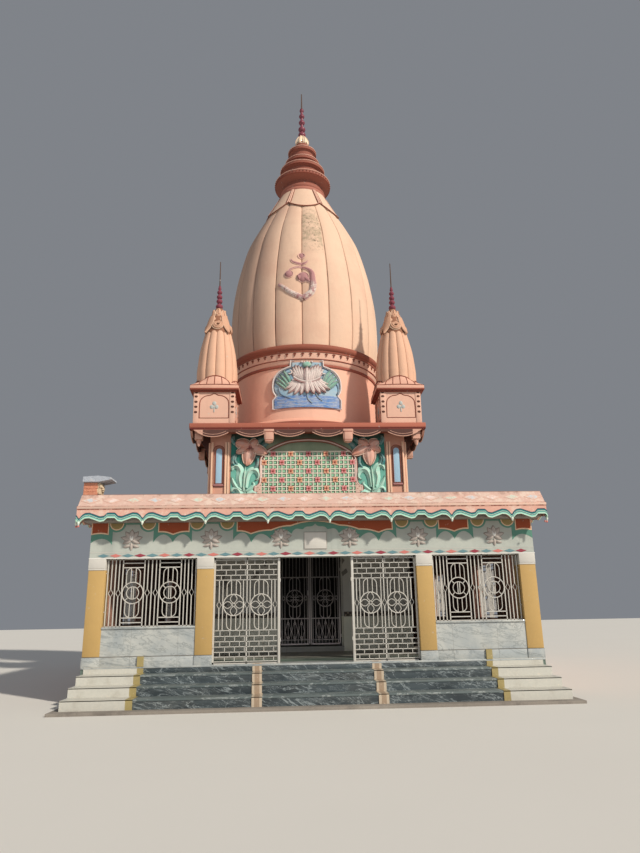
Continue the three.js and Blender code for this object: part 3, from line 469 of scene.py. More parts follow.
def make_tread():
    work = Finish("grey_tread_stone")
    cloud = work.noise(3.0, 6.0, 0.65, work.stretched(0.5, 1.0, 1.0))
    vein = abs(work.noise(2.2, 7.0, 0.66, work.stretched(0.5, 1.6, 1.0), 1.4) - 0.5)
    colour = work.blend(cloud, shown(78, 90, 92), shown(112, 122, 122))
    colour = work.blend(vein.over(0.03, 0.0) * 0.55, colour, shown(190, 196, 194))
    colour = work.blend(work.noise(1.1, 5.0, 0.7).over(0.5, 0.8) * 0.35, colour, shown(112, 110, 102))
    return work.done(colour, 0.45 + cloud * 0.2, work.noise(40.0, 4.0), 0.001)


def make_floor_stone():
    """Grey floor slabs with dark joints, with painted shade making them greener and darker towards the front
    edge.
    """
    work = Finish("grey_floor_stone")
    cloud = work.noise(1.6, 6.0, 0.65, warp=0.5)
    colour = work.blend(cloud, shown(136, 134, 126), shown(178, 176, 166))
    joints = edge_lines(work, work.x, 0.6).most(edge_lines(work, work.y, 0.6))
    colour = work.blend(joints * 0.6, colour, shown(84, 80, 72))
    # Painted shade: greener and darker towards the front edge
    front_shade = work.y.over(HALL_FRONT_Y + 2.2, HALL_FRONT_Y + 0.8) * 0.85
    colour = work.blend(front_shade, colour, shown(86, 110, 100))
    dirt = work.noise(3.5, 6.0, 0.75).over(0.5, 0.75) * 0.4
    colour = work.blend(dirt, colour, shown(106, 98, 84))
    return work.done(colour, 0.45 + cloud * 0.3, work.noise(30.0, 4.0) + joints * 0.5, 0.001, coat=0.1)


def make_inlay():
    """Polished inlay strips, whose colour comes from the piece's Tint attribute."""
    work = Finish("inlay_stone")
    fleck = work.noise(26.0, 5.0, 0.75)
    cloud = work.noise(3.2, 5.0, 0.6)
    colour = work.shaded(work.tint(), 0.86 + fleck * 0.28)
    colour = work.blend(fleck.over(0.6, 0.68) * 0.5, colour, shown(228, 206, 184))
    colour = work.blend(cloud.over(0.5, 0.8) * 0.3, colour, shown(130, 116, 92))
    return work.done(colour, 0.35 + cloud * 0.2, fleck, 0.001, coat=0.1)


def make_concrete():
    work = Finish("stained_concrete")
    broad = work.noise(0.6, 6.0, 0.65)
    fine = work.noise(14.0, 6.0, 0.7)
    colour = work.blend(broad, shown(120, 112, 104), shown(176, 168, 158))
    colour = work.blend(work.noise(1.8, 6.0, 0.7).over(0.5, 0.72) * 0.5, colour, shown(78, 74, 70))
    # Painted shade darkens the corners
    corner = (1.0 - work.crevices(0.3)).over(0.2, 0.9) * 0.5
    colour = work.blend(corner, colour, shown(70, 62, 54))
    return work.done(work.shaded(colour, 0.86 + fine * 0.28), 0.9, fine + work.noise(60.0, 3.0) * 0.4, 0.006)


def make_steel():
    work = Finish("white_enamelled_steel")
    fine = work.noise(22.0, 5.0, 0.7)
    rust = work.noise(5.0, 6.0, 0.75).over(0.62, 0.7)
    colour = work.shaded(shown(200, 196, 188), 0.9 + fine * 0.2)
    # Painted shade darkens the corners, blended with the rust
    corner = (1.0 - work.crevices(0.04)).over(0.3, 0.95) * 0.5
    colour = work.blend((rust * 0.5).most(corner), colour, shown(122, 92, 70))
    return work.done(colour, 0.35 + rust * 0.4, fine, 0.0006, coat=0.1)


def make_iron():
    work = Finish("dark_painted_iron")
    fine = work.noise(20.0, 5.0, 0.7)
    worn = work.noise(6.0, 6.0, 0.7).over(0.6, 0.72)
    # Painted light: the bars are lighter towards the bottom and darker towards the top
    colour = work.blend(work.z.over(2.3, 1.0), shown(150, 144, 142), shown(226, 214, 208))
    colour = work.blend(worn * 0.4, colour, shown(132, 108, 96))
    return work.done(work.shaded(colour, 0.8 + fine * 0.4), 0.5 + worn * 0.3, fine, 0.0008)


def make_maroon():
    work = Finish("maroon_glaze")
    fine = work.noise(12.0, 5.0, 0.7)
    worn = work.noise(5.0, 6.0, 0.7).over(0.6, 0.72)
    colour = work.blend(worn * 0.35, work.tint(), shown(206, 168, 176))
    return work.done(work.shaded(colour, 0.85 + fine * 0.3), 0.35 + worn * 0.3, fine, 0.002, coat=0.3)


def make_brick():
    """Broken brick and plaster, whose colour comes from the piece's Tint attribute."""
    work = Finish("broken_brickwork")
    fine = work.noise(16.0, 6.0, 0.75)
    broad = work.noise(4.0, 5.0, 0.7)
    colour = work.shaded(work.tint(), 0.7 + broad * 0.6)
    colour = work.blend(fine.over(0.55, 0.7) * 0.4, colour, shown(206, 188, 164))
    return work.done(colour, 0.92, fine + broad, 0.02)


# Making pieces


class Form:
    """Solids gathered in one mesh, each in the tint that is in hand when it's added."""

    def __init__(self, tint=WHITE):
        self.mesh = bmesh.new()
        self.take_layers()
        self.tint = tint

    def take_layers(self):
        loops, faces = self.mesh.loops.layers, self.mesh.faces.layers
        self.tints = loops.float_color.get("Tint") or loops.float_color.new("Tint")
        self.painted = faces.int.get("painted") or faces.int.new("painted")

    def paint(self, tint):
        """What has been added so far keeps its tint, and what follows gets this one."""
        for face in self.mesh.faces:
            if not face[self.painted]:
                face[self.painted] = 1
                for loop in face.loops:
                    loop[self.tints] = (*self.tint, 1.0)
        self.tint = tint
        return self

    def box(self, x0, x1, y0, y1, z0, z1, soft=0.0):
        """A block, given by its limits, with edges rounded by soft."""
        size = Matrix.Diagonal((x1 - x0, y1 - y0, z1 - z0, 1.0))
        spot = Matrix.Translation(((x0 + x1) / 2, (y0 + y1) / 2, (z0 + z1) / 2))
        made = bmesh.ops.create_cube(self.mesh, size=1.0, matrix=spot @ size)
        if soft:
            self.soften(list({edge for vert in made["verts"] for edge in vert.link_edges}), soft)

    def soften(self, edges, soft):
        """Rounds edges with two facets."""
        bmesh.ops.bevel(
            self.mesh, geom=edges, offset=soft, segments=2, profile=0.5, affect="EDGES", material=-1
        )

    def square(self, half, *rest):
        """A block that is square on plan, about the middle."""
        self.box(-half, half, -half, half, *rest)

    def twins(self, near, far, *rest):
        """The same block at both sides of the middle, from near to far across."""
        self.box(-far, -near, *rest)
        self.box(near, far, *rest)

    def plate(self, outline, z0, z1, soft=0.0):
        """A flat outline of x and y, thickened from z0 to z1."""
        corners = [self.mesh.verts.new((x, y, z0)) for x, y in outline]
        face = self.mesh.faces.new(corners)
        raised = bmesh.ops.extrude_face_region(self.mesh, geom=[face], use_keep_orig=True)["geom"]
        tops = [item for item in raised if isinstance(item, bmesh.types.BMVert)]
        bmesh.ops.translate(self.mesh, verts=tops, vec=(0, 0, z1 - z0))
        if soft:
            self.soften([item for item in raised if isinstance(item, bmesh.types.BMEdge)], soft)

    def sheet(self, across, along, shape, thick):
        """A thickened grid whose corners go where shape puts (u, v), both from 0 to 1."""
        made = bmesh.ops.create_grid(self.mesh, x_segments=across, y_segments=along, size=0.5)
        for vert in made["verts"]:
            vert.co = Vector(shape(vert.co.x + 0.5, vert.co.y + 0.5))
        faces = list({face for vert in made["verts"] for face in vert.link_faces})
        for face in faces:
            face.normal_update()
        bmesh.ops.solidify(self.mesh, geom=faces, thickness=thick)

    def turned(self, profile, steps, centre=(0.0, 0.0)):
        """A profile of radius and height turned about an upright axis."""
        lathe = bmesh.new()
        verts = [lathe.verts.new((r, 0, z)) for r, z in profile]
        edges = [lathe.edges.new(pair) for pair in zip(verts, verts[1:])]
        bmesh.ops.spin(
            lathe, geom=verts + edges, cent=(0, 0, 0), axis=(0, 0, 1), angle=2 * math.pi, steps=steps,
            use_merge=True,
        )
        bmesh.ops.remove_doubles(lathe, verts=lathe.verts, dist=1e-5)
        bmesh.ops.translate(lathe, verts=lathe.verts, vec=(centre[0], centre[1], 0))
        self.gather(lathe)

    def fluted(self, profile, lobes, depth, power, seam=0.0, centre=(0.0, 0.0)):
        """A turned solid whose sides swell into lobes with sharp seams; seam is the front one's angle."""
        body = Form(self.tint)
        body.turned(profile, lobes * 8)
        whole = 2 * math.pi / lobes

        def shape(point):
            angle = math.atan2(point.x, -point.y)
            angle -= whole * 0.13 * math.sin(2 * math.pi * angle / whole)
            radius = math.hypot(point.x, point.y) * swell(angle, lobes, depth, power)
            angle += math.radians(seam)
            return (centre[0] + radius * math.sin(angle), centre[1] - radius * math.cos(angle), point.z)

        self.take(body.warp(shape))

    def gather(self, other):
        """Takes in a loose bmesh and ends it."""
        drawing = bpy.data.meshes.new("drawing")
        other.to_mesh(drawing)
        other.free()
        self.mesh.from_mesh(drawing)
        self.take_layers()
        bpy.data.meshes.remove(drawing)

    def ball(self, centre, radius, squash=(1.0, 1.0, 1.0), finer=2):
        spot = Matrix.Translation(centre) @ Matrix.Diagonal((*squash, 1.0))
        bmesh.ops.create_icosphere(self.mesh, subdivisions=finer, radius=radius, matrix=spot)

    def ropes(self, lines, radius, closed=False, sides=1):
        """Round bars along lines of points; a fourth number in a point is its share of the radius."""
        curve = bpy.data.curves.new("line", "CURVE")
        curve.dimensions = "3D"
        curve.bevel_depth = radius
        curve.bevel_resolution = sides
        curve.use_fill_caps = True
        for line in lines:
            spline = curve.splines.new("POLY")
            spline.points.add(len(line) - 1)
            for point, place in zip(spline.points, line):
                point.co = (*place[:3], 1.0)
                point.radius = place[3] if len(place) > 3 else 1.0
            spline.use_cyclic_u = closed
        holder = bpy.data.objects.new("line", curve)
        made = bpy.data.meshes.new_from_object(holder)
        self.mesh.from_mesh(made)
        self.take_layers()
        bpy.data.objects.remove(holder)
        bpy.data.curves.remove(curve)
        bpy.data.meshes.remove(made)

    def warp(self, shape):
        """Moves every point of the piece to where shape sends it."""
        for vert in self.mesh.verts:
            vert.co = Vector(shape(vert.co))
        return self

    def take(self, other, places=(Matrix.Identity(4),), keep=False):
        """Adds copies of another form at the given places, and ends that form unless it's kept."""
        other.paint(other.tint)
        self.paint(self.tint)
        drawing = bpy.data.meshes.new("drawing")
        other.mesh.to_mesh(drawing)
        for place in places:
            copy = drawing.copy()
            copy.transform(place)
            self.mesh.from_mesh(copy)
            bpy.data.meshes.remove(copy)
        bpy.data.meshes.remove(drawing)
        if not keep:
            other.mesh.free()
        self.take_layers()
        return self

    def done(self, name, paint, slot, replaces=(), body="root", smooth=35.0):
        """Makes the piece an object with its finish and body; its slot is not used."""
        self.paint(self.tint)
        bmesh.ops.recalc_face_normals(self.mesh, faces=self.mesh.faces)
        mesh = bpy.data.meshes.new(name)
        self.mesh.to_mesh(mesh)
        self.mesh.free()
        mesh.attributes.remove(mesh.attributes["painted"])
        mesh.shade_smooth()
        mesh.set_sharp_from_angle(angle=math.radians(smooth))
        piece = bpy.data.objects.new(name, mesh)
        bpy.context.scene.collection.objects.link(piece)
        piece.data.materials.append(finish(paint))
        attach(piece, body)
        if replaces:
            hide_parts(*replaces)
        return piece


def placed(name, paint, slot, drawings, places, replaces=(), body="root", smooth=35.0, keep=False):
    """A piece that is made of copies of one or more drawings."""
    piece = Form()
    for drawing in drawings:
        piece.take(drawing, places, keep)
    return piece.done(name, paint, slot, replaces, body, smooth)


def block(name, paint, slot, *limits):
    """A piece that is one block."""
    piece = Form()
    piece.box(*limits)
    piece.done(name, paint, slot)


def dress(paint, *nodes):
    """Gives pieces that keep their built shape a finish of this scene."""
    for node in nodes:
        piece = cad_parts[node]
        piece.data.materials.clear()
        piece.data.materials.append(finish(paint))


def facing(angle, centre_y, reach):
    """Puts a drawing of across, up and out on an upright face that looks along the angle; 0 is the front."""
    drawn = Matrix(((1, 0, 0, 0), (0, 0, -1, 0), (0, 1, 0, 0), (0, 0, 0, 1)))
    turn = Matrix.Rotation(math.radians(angle), 4, "Z")
    return Matrix.Translation((0, centre_y, 0)) @ turn @ drawn @ Matrix.Translation((0, 0, reach))


def four_sides(centre_y, reach):
    """The same drawing's places on all four sides."""
    return [facing(angle, centre_y, reach) for angle in QUARTERS]


def swell(angle, lobes, depth, power):
    """Share of the full radius on a lobed plan, at an angle from a seam."""
    return 1 - depth * (1 - abs(math.sin(angle * lobes / 2)) ** power)


def smooth(value, low, high):
    """0 below low, 1 above high and smooth between."""
    share = max(0.0, min(1.0, (value - low) / (high - low)))
    return share * share * (3 - 2 * share)


def circle(radius, z, count, centre=(0.0, 0.0)):
    """Points on a level circle, from the front round."""
    turns = [2 * math.pi * k / count for k in range(count)]
    return [(centre[0] + radius * math.sin(t), centre[1] - radius * math.cos(t), z) for t in turns]


def smooth_line(points, steps):
    """More points on a smooth curve through the given ones."""
    line = []
    last = len(points) - 1
    for i in range(last):
        before, start = Vector(points[max(i - 1, 0)]), Vector(points[i])
        end, after = Vector(points[i + 1]), Vector(points[min(i + 2, last)])
        for k in range(steps):
            t = k / steps
            square, cube = t * t, t * t * t
            line.append(tuple(
                0.5 * (2 * start + (end - before) * t + (2 * before - 5 * start + 4 * end - after) * square
                       + (3 * start - before - 3 * end + after) * cube)
            ))
    line.append(tuple(points[last]))
    return line


def diamond_line(x, y, half, high, waist, shoulder):
    """Outline of a diamond with bent sides, whose bends lie at those shares of its half width and height."""
    near, low = half * waist, high * shoulder
    corners = [(-half, 0), (-near, -low), (0, -high), (near, -low),
               (half, 0), (near, low), (0, high), (-near, low)]
    return [(x + across, y + up) for across, up in corners]


def span(foot, tip):
    """The foot of a petal, the way to its tip and the unit length across it."""
    along = Vector(tip) - Vector(foot)
    return Vector(foot), along, Vector((along.y, -along.x)).normalized()


def arc(x, y, radius, start, end, steps):
    """Points on a round arc, with its angles in degrees."""
    turns = [math.radians(start + (end - start) * k / steps) for k in range(steps + 1)]
    return [(x + radius * math.cos(turn), y + radius * math.sin(turn)) for turn in turns]


# Dome: lobes, collar, neck and the carved sign

LOBES = 18
LOBE_DEPTH = 0.036
LOBE_POWER = 0.4
DOME_SEAM = -3.0
LICHEN = {"z0": 11.95, "z1": 14.35}
DOME_LINE = [
    (2.330, 9.03), (2.385, 9.6), (2.395, 10.2), (2.375, 10.9), (2.310, 11.5), (2.182, 12.2),
    (1.910, 13.2), (1.540, 14.0), (1.270, 14.5), (1.000, 15.0), (0.780, 15.42),
]
COLLAR = {"tabs": 7, "middle": 1.0, "corner": 14.70, "tip": 14.40, "top": 15.43, "proud": 0.03}


def dome_radius(z):
    """Radius of the dome's lobes at a height, on a smooth curve through its measured ones."""
    line = smooth_line(DOME_LINE, 7)
    for (r0, z0), (r1, z1) in zip(line, line[1:]):
        if z <= z1:
            return r0 + (r1 - r0) * max(z - z0, 0.0) / (z1 - z0)
    return line[-1][0]


def on_dome(x, z, proud):
    """Point on the front of the dome at an offset across and a height, raised from it."""
    radius = dome_radius(z)
    turn = math.asin(max(-1.0, min(1.0, x / radius)))
    reach = radius * swell(turn - math.radians(DOME_SEAM), LOBES, LOBE_DEPTH, LOBE_POWER) + proud
    return (reach * math.sin(turn), AXIS_Y - reach * math.cos(turn), z)


class TEMPLE_OT_dome(bpy.types.Operator):
    """Ribbed dome with its petal collar and the neck ring"""

    bl_idname = "temple.dome"
    bl_label = "Dome"

    def execute(self, context):
        shell = Form(CREAM)
        line = smooth_line(DOME_LINE, 7)
        inside = [(r * 0.86, z) for r, z in DOME_LINE[::-2]]
        shell.fluted(line + inside + [line[0]], LOBES, LOBE_DEPTH, LOBE_POWER, DOME_SEAM, AXIS)
        shell.done("dome_shell", make_dome, "cream_paint", ["dome"], smooth=28)
        self.collar()
        return {"FINISHED"}

    def collar(self):
        tabs = Form(DOME_CREAM)
        span = 360 / COLLAR["tabs"]
        middles = [COLLAR["middle"] + k * span for k in range(COLLAR["tabs"])]
        for turn in middles:
            tabs.sheet(14, 10, self.tab(turn, span, COLLAR["proud"]), 0.08)
        tabs.paint(NECK_PINK)
        tabs.turned([(0.0, 15.30), (0.72, 15.30), (0.72, 15.42), (0.77, 15.45), (0.79, 15.52), (0.77, 15.58),
                     (0.73, 15.61), (0.76, 15.64), (0.775, 15.68), (0.76, 15.70), (0.0, 15.70)], 64, AXIS)
        tabs.paint(BAND_PEACH)
        for turn in middles:
            place = self.tab(turn, span, COLLAR["proud"] + 0.008)
            tabs.ropes([[place(u, k / 10) for k in range(11)] for u in (0.025, 0.975)], 0.028, sides=2)
            tabs.ropes([[place(k / 12, 0.0) for k in range(13)]], 0.016, sides=2)
        # Thin dark lines outside each ridge and along the tabs' lower edge are painted shade of grooves
        tabs.paint(RED_BROWN)
        for turn in middles:
            place = self.tab(turn, span, COLLAR["proud"] + 0.012)
            tabs.ropes([[place(u, k / 10) for k in range(11)] for u in (0.075, 0.925)], 0.010)
            tabs.ropes([[place(k / 12, -0.02) for k in range(13)]], 0.012)
        tabs.done("dome_petal_collar", make_painted, "cream_paint", ["dome_collar"], smooth=40)

    def tab(self, middle_angle, span, proud):
        """Where u and v fall on one petal tab of the collar."""
        half = math.radians(span) / 2

        def place(u, v):
            turn = (u - 0.5) * 2 * half * 0.985
            low = COLLAR["corner"] - (COLLAR["corner"] - COLLAR["tip"]) * math.cos(turn / half * math.pi / 2)
            z = low + (COLLAR["top"] - low) * v
            reach = dome_radius(z) + proud
            turn += math.radians(middle_angle)
            return (reach * math.sin(turn), AXIS_Y - reach * math.cos(turn), z)

        return place


class TEMPLE_OT_sign(bpy.types.Operator):
    """Raised traditional sign on the front of the dome: curl, tail, crescent and dot"""

    bl_idname = "temple.sign"
    bl_label = "Carved Sign"

    def execute(self, context):
        sign = Form(MAUVE)
        rims = Form(ROSE)
        curve = [(-0.521, 11.36), (-0.50, 11.50), (-0.351, 11.585), (-0.14, 11.612), (0.07, 11.52),
                 (0.184, 11.386), (0.20, 11.137), (0.218, 10.953), (0.152, 10.713), (-0.074, 10.535)]
        tail = [(-0.06, 10.52), (-0.254, 10.61), (-0.461, 10.73), (-0.642, 10.899), (-0.816, 11.053)]
        middle_bar = [(-0.239, 11.21), (-0.076, 11.242), (0.095, 11.102), (0.20, 11.06)]
        crescent = [(-0.444, 11.916), (-0.37, 11.80), (-0.191, 11.735), (-0.02, 11.75), (0.075, 11.84)]
        self.stroke(sign, rims, curve, lambda t: 0.022 + 0.075 * smooth(t, 0.25, 0.75))
        self.stroke(sign, rims, tail, lambda t: 0.098 - 0.055 * t)
        self.stroke(sign, rims, middle_bar, lambda t: 0.10 - 0.06 * t)
        self.stroke(sign, rims, crescent, lambda t: 0.012 + 0.030 * math.sin(t * math.pi))
        for x, z, radius in ((-0.501, 11.36, 0.115), (-0.08, 11.24, 0.165), (-0.12, 12.03, 0.095)):
            sign.ball(on_dome(x, z, 0.0), radius, (1.0, 0.5, 1.0), finer=3)
            ring = arc(x, z, radius + 0.012, 0, 345, 22)
            rims.ropes([[on_dome(*spot, 0.012) for spot in ring]], 0.013, True)
        sign.take(rims)
        sign.done("carved_sign", make_sign, "cream_paint")
        return {"FINISHED"}

    def stroke(self, sign, rims, points, width):
        """A rounded stroke along a line, with a thin pale rim at each side."""
        line = smooth_line(points, 6)
        last = len(line) - 1
        spine = [(*on_dome(x, z, -0.01), width(k / last)) for k, (x, z) in enumerate(line)]
        sign.ropes([spine], 1.0, sides=3)
        for side in SIDES:
            rim = []
            for k, (x, z) in enumerate(line):
                along = Vector(line[min(k + 1, last)]) - Vector(line[max(k - 1, 0)])
                off = Vector((-along.y, along.x)).normalized() * side * (width(k / last) * 0.97)
                rim.append(on_dome(x + off.x, z + off.y, 0.008))
            rims.ropes([rim], 0.012)


def make_sign():
    """Mauve carving, worn to white mottling along its tail, with painted shade in its crevices."""
    work = Finish("worn_carving")
    fine = work.noise(14.0, 5.0, 0.7)
    worn = work.noise(8.0, 6.0, 0.8).over(0.42, 0.56) * work.z.over(11.15, 10.85)
    colour = work.blend(worn * 0.85, work.tint(), shown(226, 216, 204))
    # Painted shade in the crevices
    corner = (1.0 - work.crevices(0.08)).over(0.2, 0.9) * 0.6
    colour = work.blend(corner, colour, shown(120, 72, 72))
    return work.done(work.shaded(colour, 0.88 + fine * 0.24), 0.8, fine, 0.006)


# Finial: ringed spire, bud, beads and rod

# Rims of the tiers: radius, lower edge, upper edge and radius of the neck above
TIERS = [
    (0.96, 15.98, 16.11, 0.66), (0.77, 16.52, 16.64, 0.52),
    (0.59, 16.88, 17.00, 0.42), (0.49, 17.34, 17.46, 0.25),
]
BEADS = [(0.136, 18.278), (0.130, 18.52), (0.112, 18.82), (0.100, 19.10), (0.078, 19.345)]


class TEMPLE_OT_finial(bpy.types.Operator):
    """Stacked rings with pale lips, a lotus bud, glazed beads and the rod"""

    bl_idname = "temple.finial"
    bl_label = "Finial"

    def execute(self, context):
        steps = context.scene.temple_sizes.round_steps
        rings = Form(RING_BROWN)
        profile = [(0.0, NECK_Z), (0.75, NECK_Z), (0.70, 15.80), (0.69, 15.88)]
        for radius, z0, z1, neck in TIERS:
            profile += [(radius * 0.86, z0 - 0.035), (radius * 0.98, z0), (radius, z0 + 0.015)]
            profile += [(radius, z1 - 0.015), (radius * 0.98, z1), (neck + 0.1, z1 + 0.03), (neck, z1 + 0.10)]
        profile += [(0.25, RINGS_TOP_Z), (0.0, RINGS_TOP_Z)]
        rings.turned(profile, steps, AXIS)
        rings.paint(RISER_RED)
        for radius, z0, z1, neck in TIERS:
            rings.turned([(neck, z1 + 0.09), (neck + 0.018, z1 + 0.10), (neck + 0.018, z1 + 0.15),
                          (neck, z1 + 0.16), (neck, z1 + 0.09)], steps, AXIS)
        rings.paint(RIM_PINK)
        for radius, z0, z1, neck in TIERS:
            rings.ropes([circle(radius + 0.002, z1 - 0.005, 64, AXIS)], 0.016, closed=True)
        rings.paint(RUST_BROWN)
        for radius, z0, z1, neck in TIERS:
            rings.ropes([circle(radius - 0.004, z0 + 0.008, 64, AXIS)], 0.014, closed=True)
        radius, z0, z1, neck = TIERS[0]
        for x, y, z in circle(radius + 0.008, (z0 + z1) / 2, 52, AXIS):
            rings.ball((x, y, z), 0.022, finer=1)
        rings.done("finial_ring_stack", make_painted, "terracotta_paint", ["finial_rings"])
        self.beads()
        return {"FINISHED"}

    def beads(self):
        tip = Form(BUD_GOLD)
        foot = [(0.0, RINGS_TOP_Z), (0.20, RINGS_TOP_Z), (0.215, 17.80), (0.16, 17.86), (0.0, 17.86)]
        tip.turned(foot, 32, AXIS)
        bud = [(0.0, 17.80), (0.235, 17.80), (0.25, 17.86), (0.235, 17.96), (0.18, 18.08), (0.11, 18.19),
               (0.0, 18.22)]
        tip.fluted(bud, 8, 0.25, 0.6, 0.0, AXIS)
        tip.paint(HOOD_RIM)
        for k in range(8):
            across, out = math.sin(2 * math.pi * (k + 0.5) / 8), math.cos(2 * math.pi * (k + 0.5) / 8)
            tip.ropes([[((r + 0.004) * across, AXIS_Y - (r + 0.004) * out, z) for r, z in bud[1:6]]], 0.013)
        tip.paint(RING_BROWN)
        tip.ropes([circle(0.222, 17.835, 32, AXIS)], 0.014, closed=True)
        tip.paint(MAROON)
        tip.turned([(0.0, 18.1), (0.05, 18.1), (0.045, 19.42), (0.0, 19.42)], 12, AXIS)
        for radius, z in BEADS:
            tip.ball((0, AXIS_Y, z), radius, (1.0, 1.0, 0.86), finer=3)
            tip.turned([(0.0, z + radius * 0.76), (0.062, z + radius * 0.76), (0.062, z + radius * 0.94),
                        (0.0, z + radius * 0.94)], 12, AXIS)
        tip.paint(DARK_STONE)
        tip.turned([(0.0, 19.36), (0.03, 19.36), (0.018, TIP_Z), (0.0, TIP_Z)], 10, AXIS)
        tip.done("finial_bud_and_beads", make_maroon, "maroon_enamel", ["finial_beads"])


# Drum, ring cornice and lotus panel

DRUM_RADIUS = 2.25
DRUM_THICK = 0.22
DENTILS = 64


class TEMPLE_OT_drum(bpy.types.Operator):
    """Drum, its foot, and the ring cornice with its row of small marks"""

    bl_idname = "temple.drum"
    bl_label = "Drum and Ring"

    def execute(self, context):
        wall = Form(DRUM_SALMON)
        inner = DRUM_RADIUS - DRUM_THICK
        wall.turned([(inner, SLAB_Z), (2.30, SLAB_Z), (2.30, 6.78), (2.27, 6.84), (DRUM_RADIUS, 6.86),
                     (DRUM_RADIUS, 8.50), (inner, 8.50), (inner, SLAB_Z)], WALL_STEPS, AXIS)
        wall.paint(FOOT_RED)
        wall.turned([(2.28, SLAB_Z), (2.38, SLAB_Z), (2.38, 6.64), (2.40, 6.68), (2.385, 6.73), (2.34, 6.76),
                     (2.28, 6.77), (2.28, SLAB_Z)], WALL_STEPS, AXIS)
        wall.done("drum_wall", make_drum, "salmon_paint", ["drum"])
        ring = Form(LINE_BROWN)
        self.band(ring, [(2.25, 8.405), (2.285, 8.41), (2.295, 8.44), (2.285, 8.48), (2.25, 8.481)])
        self.band(ring, [(2.30, 8.60), (2.345, 8.605), (2.345, 8.62), (2.30, 8.625)])
        ring.paint(RING_RED)
        self.band(ring, [(2.30, 8.805), (2.372, 8.81), (2.388, 8.868), (2.30, 8.87)])
        ring.paint(BAND_PEACH)
        self.band(ring, [(2.25, 8.478), (2.27, 8.482), (2.30, 8.52), (2.315, 8.60), (2.25, 8.605)])
        self.band(ring, [(2.25, 8.62), (2.325, 8.622), (2.345, 8.73), (2.36, 8.85), (2.25, 8.855)])
        ring.paint(RING_RED)
        self.band(ring, [(2.25, 8.866), (2.40, 8.87), (2.435, 8.90), (2.452, 8.95), (2.447, 9.00),
                         (2.42, 9.036), (2.25, 9.04)])
        mark = Form(RED_BROWN)
        mark.box(-0.042, 0.042, -0.02, 0.010, 8.755, 8.778)
        mark.box(-0.012, 0.012, -0.02, 0.010, 8.70, 8.79)
        centre = Matrix.Translation((0, AXIS_Y, 0))
        out = Matrix.Translation((0, -2.352, 0))
        turns = [2 * math.pi * (k + 0.5) / DENTILS for k in range(DENTILS)]
        ring.take(mark, [centre @ Matrix.Rotation(turn, 4, "Z") @ out for turn in turns])
        ring.done("ring_cornice_mouldings", make_painted, "terracotta_paint", ["ring_cornice"])
        return {"FINISHED"}

    def band(self, ring, outer):
        inner = DRUM_RADIUS - DRUM_THICK
        profile = [(inner, outer[0][1])] + outer + [(inner, outer[-1][1]), (inner, outer[0][1])]
        ring.turned(profile, RING_STEPS, AXIS)


def make_drum():
    """Salmon plaster that is stronger at its sides and paler at its front."""
    work = Finish("drum_plaster")
    paler_front = (work.y - AXIS_Y).over(-1.5, -2.3) * work.z.over(6.84, 6.88)
    paler_front *= 0.6 + work.noise(1.2, 4.0) * 0.5
    base = work.blend(paler_front * 0.55, work.tint(), shown(244, 204, 180))
    return plastered(work, base, 0.8, 0.12, 0.006, 0.25, 0.1, 0.4)


def wrapped(u, z, proud):
    """Point of a flat drawing laid round the drum's front."""
    turn = u / DRUM_RADIUS
    reach = DRUM_RADIUS + proud
    return (reach * math.sin(turn), AXIS_Y - reach * math.cos(turn), z)


def lotus_outline(inset=0.0):
    """The lotus panel's outline as one closed line of u and z, drawn in by the inset."""
    side = [(0.98, 7.153), (0.985, 7.42), (0.885, 7.536)]
    side += smooth_line([(0.885, 7.536), (0.975, 7.70), (0.985, 7.931), (0.93, 8.12), (0.78, 8.28),
                         (0.60, 8.36), (0.47, 8.40)], 4)[1:]
    side += [(0.455, 8.59)]
    line = side + [(-u, z) for u, z in reversed(side)]
    if not inset:
        return line
    middle_z = 7.8
    return [(u - math.copysign(inset, u), z - math.copysign(inset, z - middle_z)) for u, z in line]


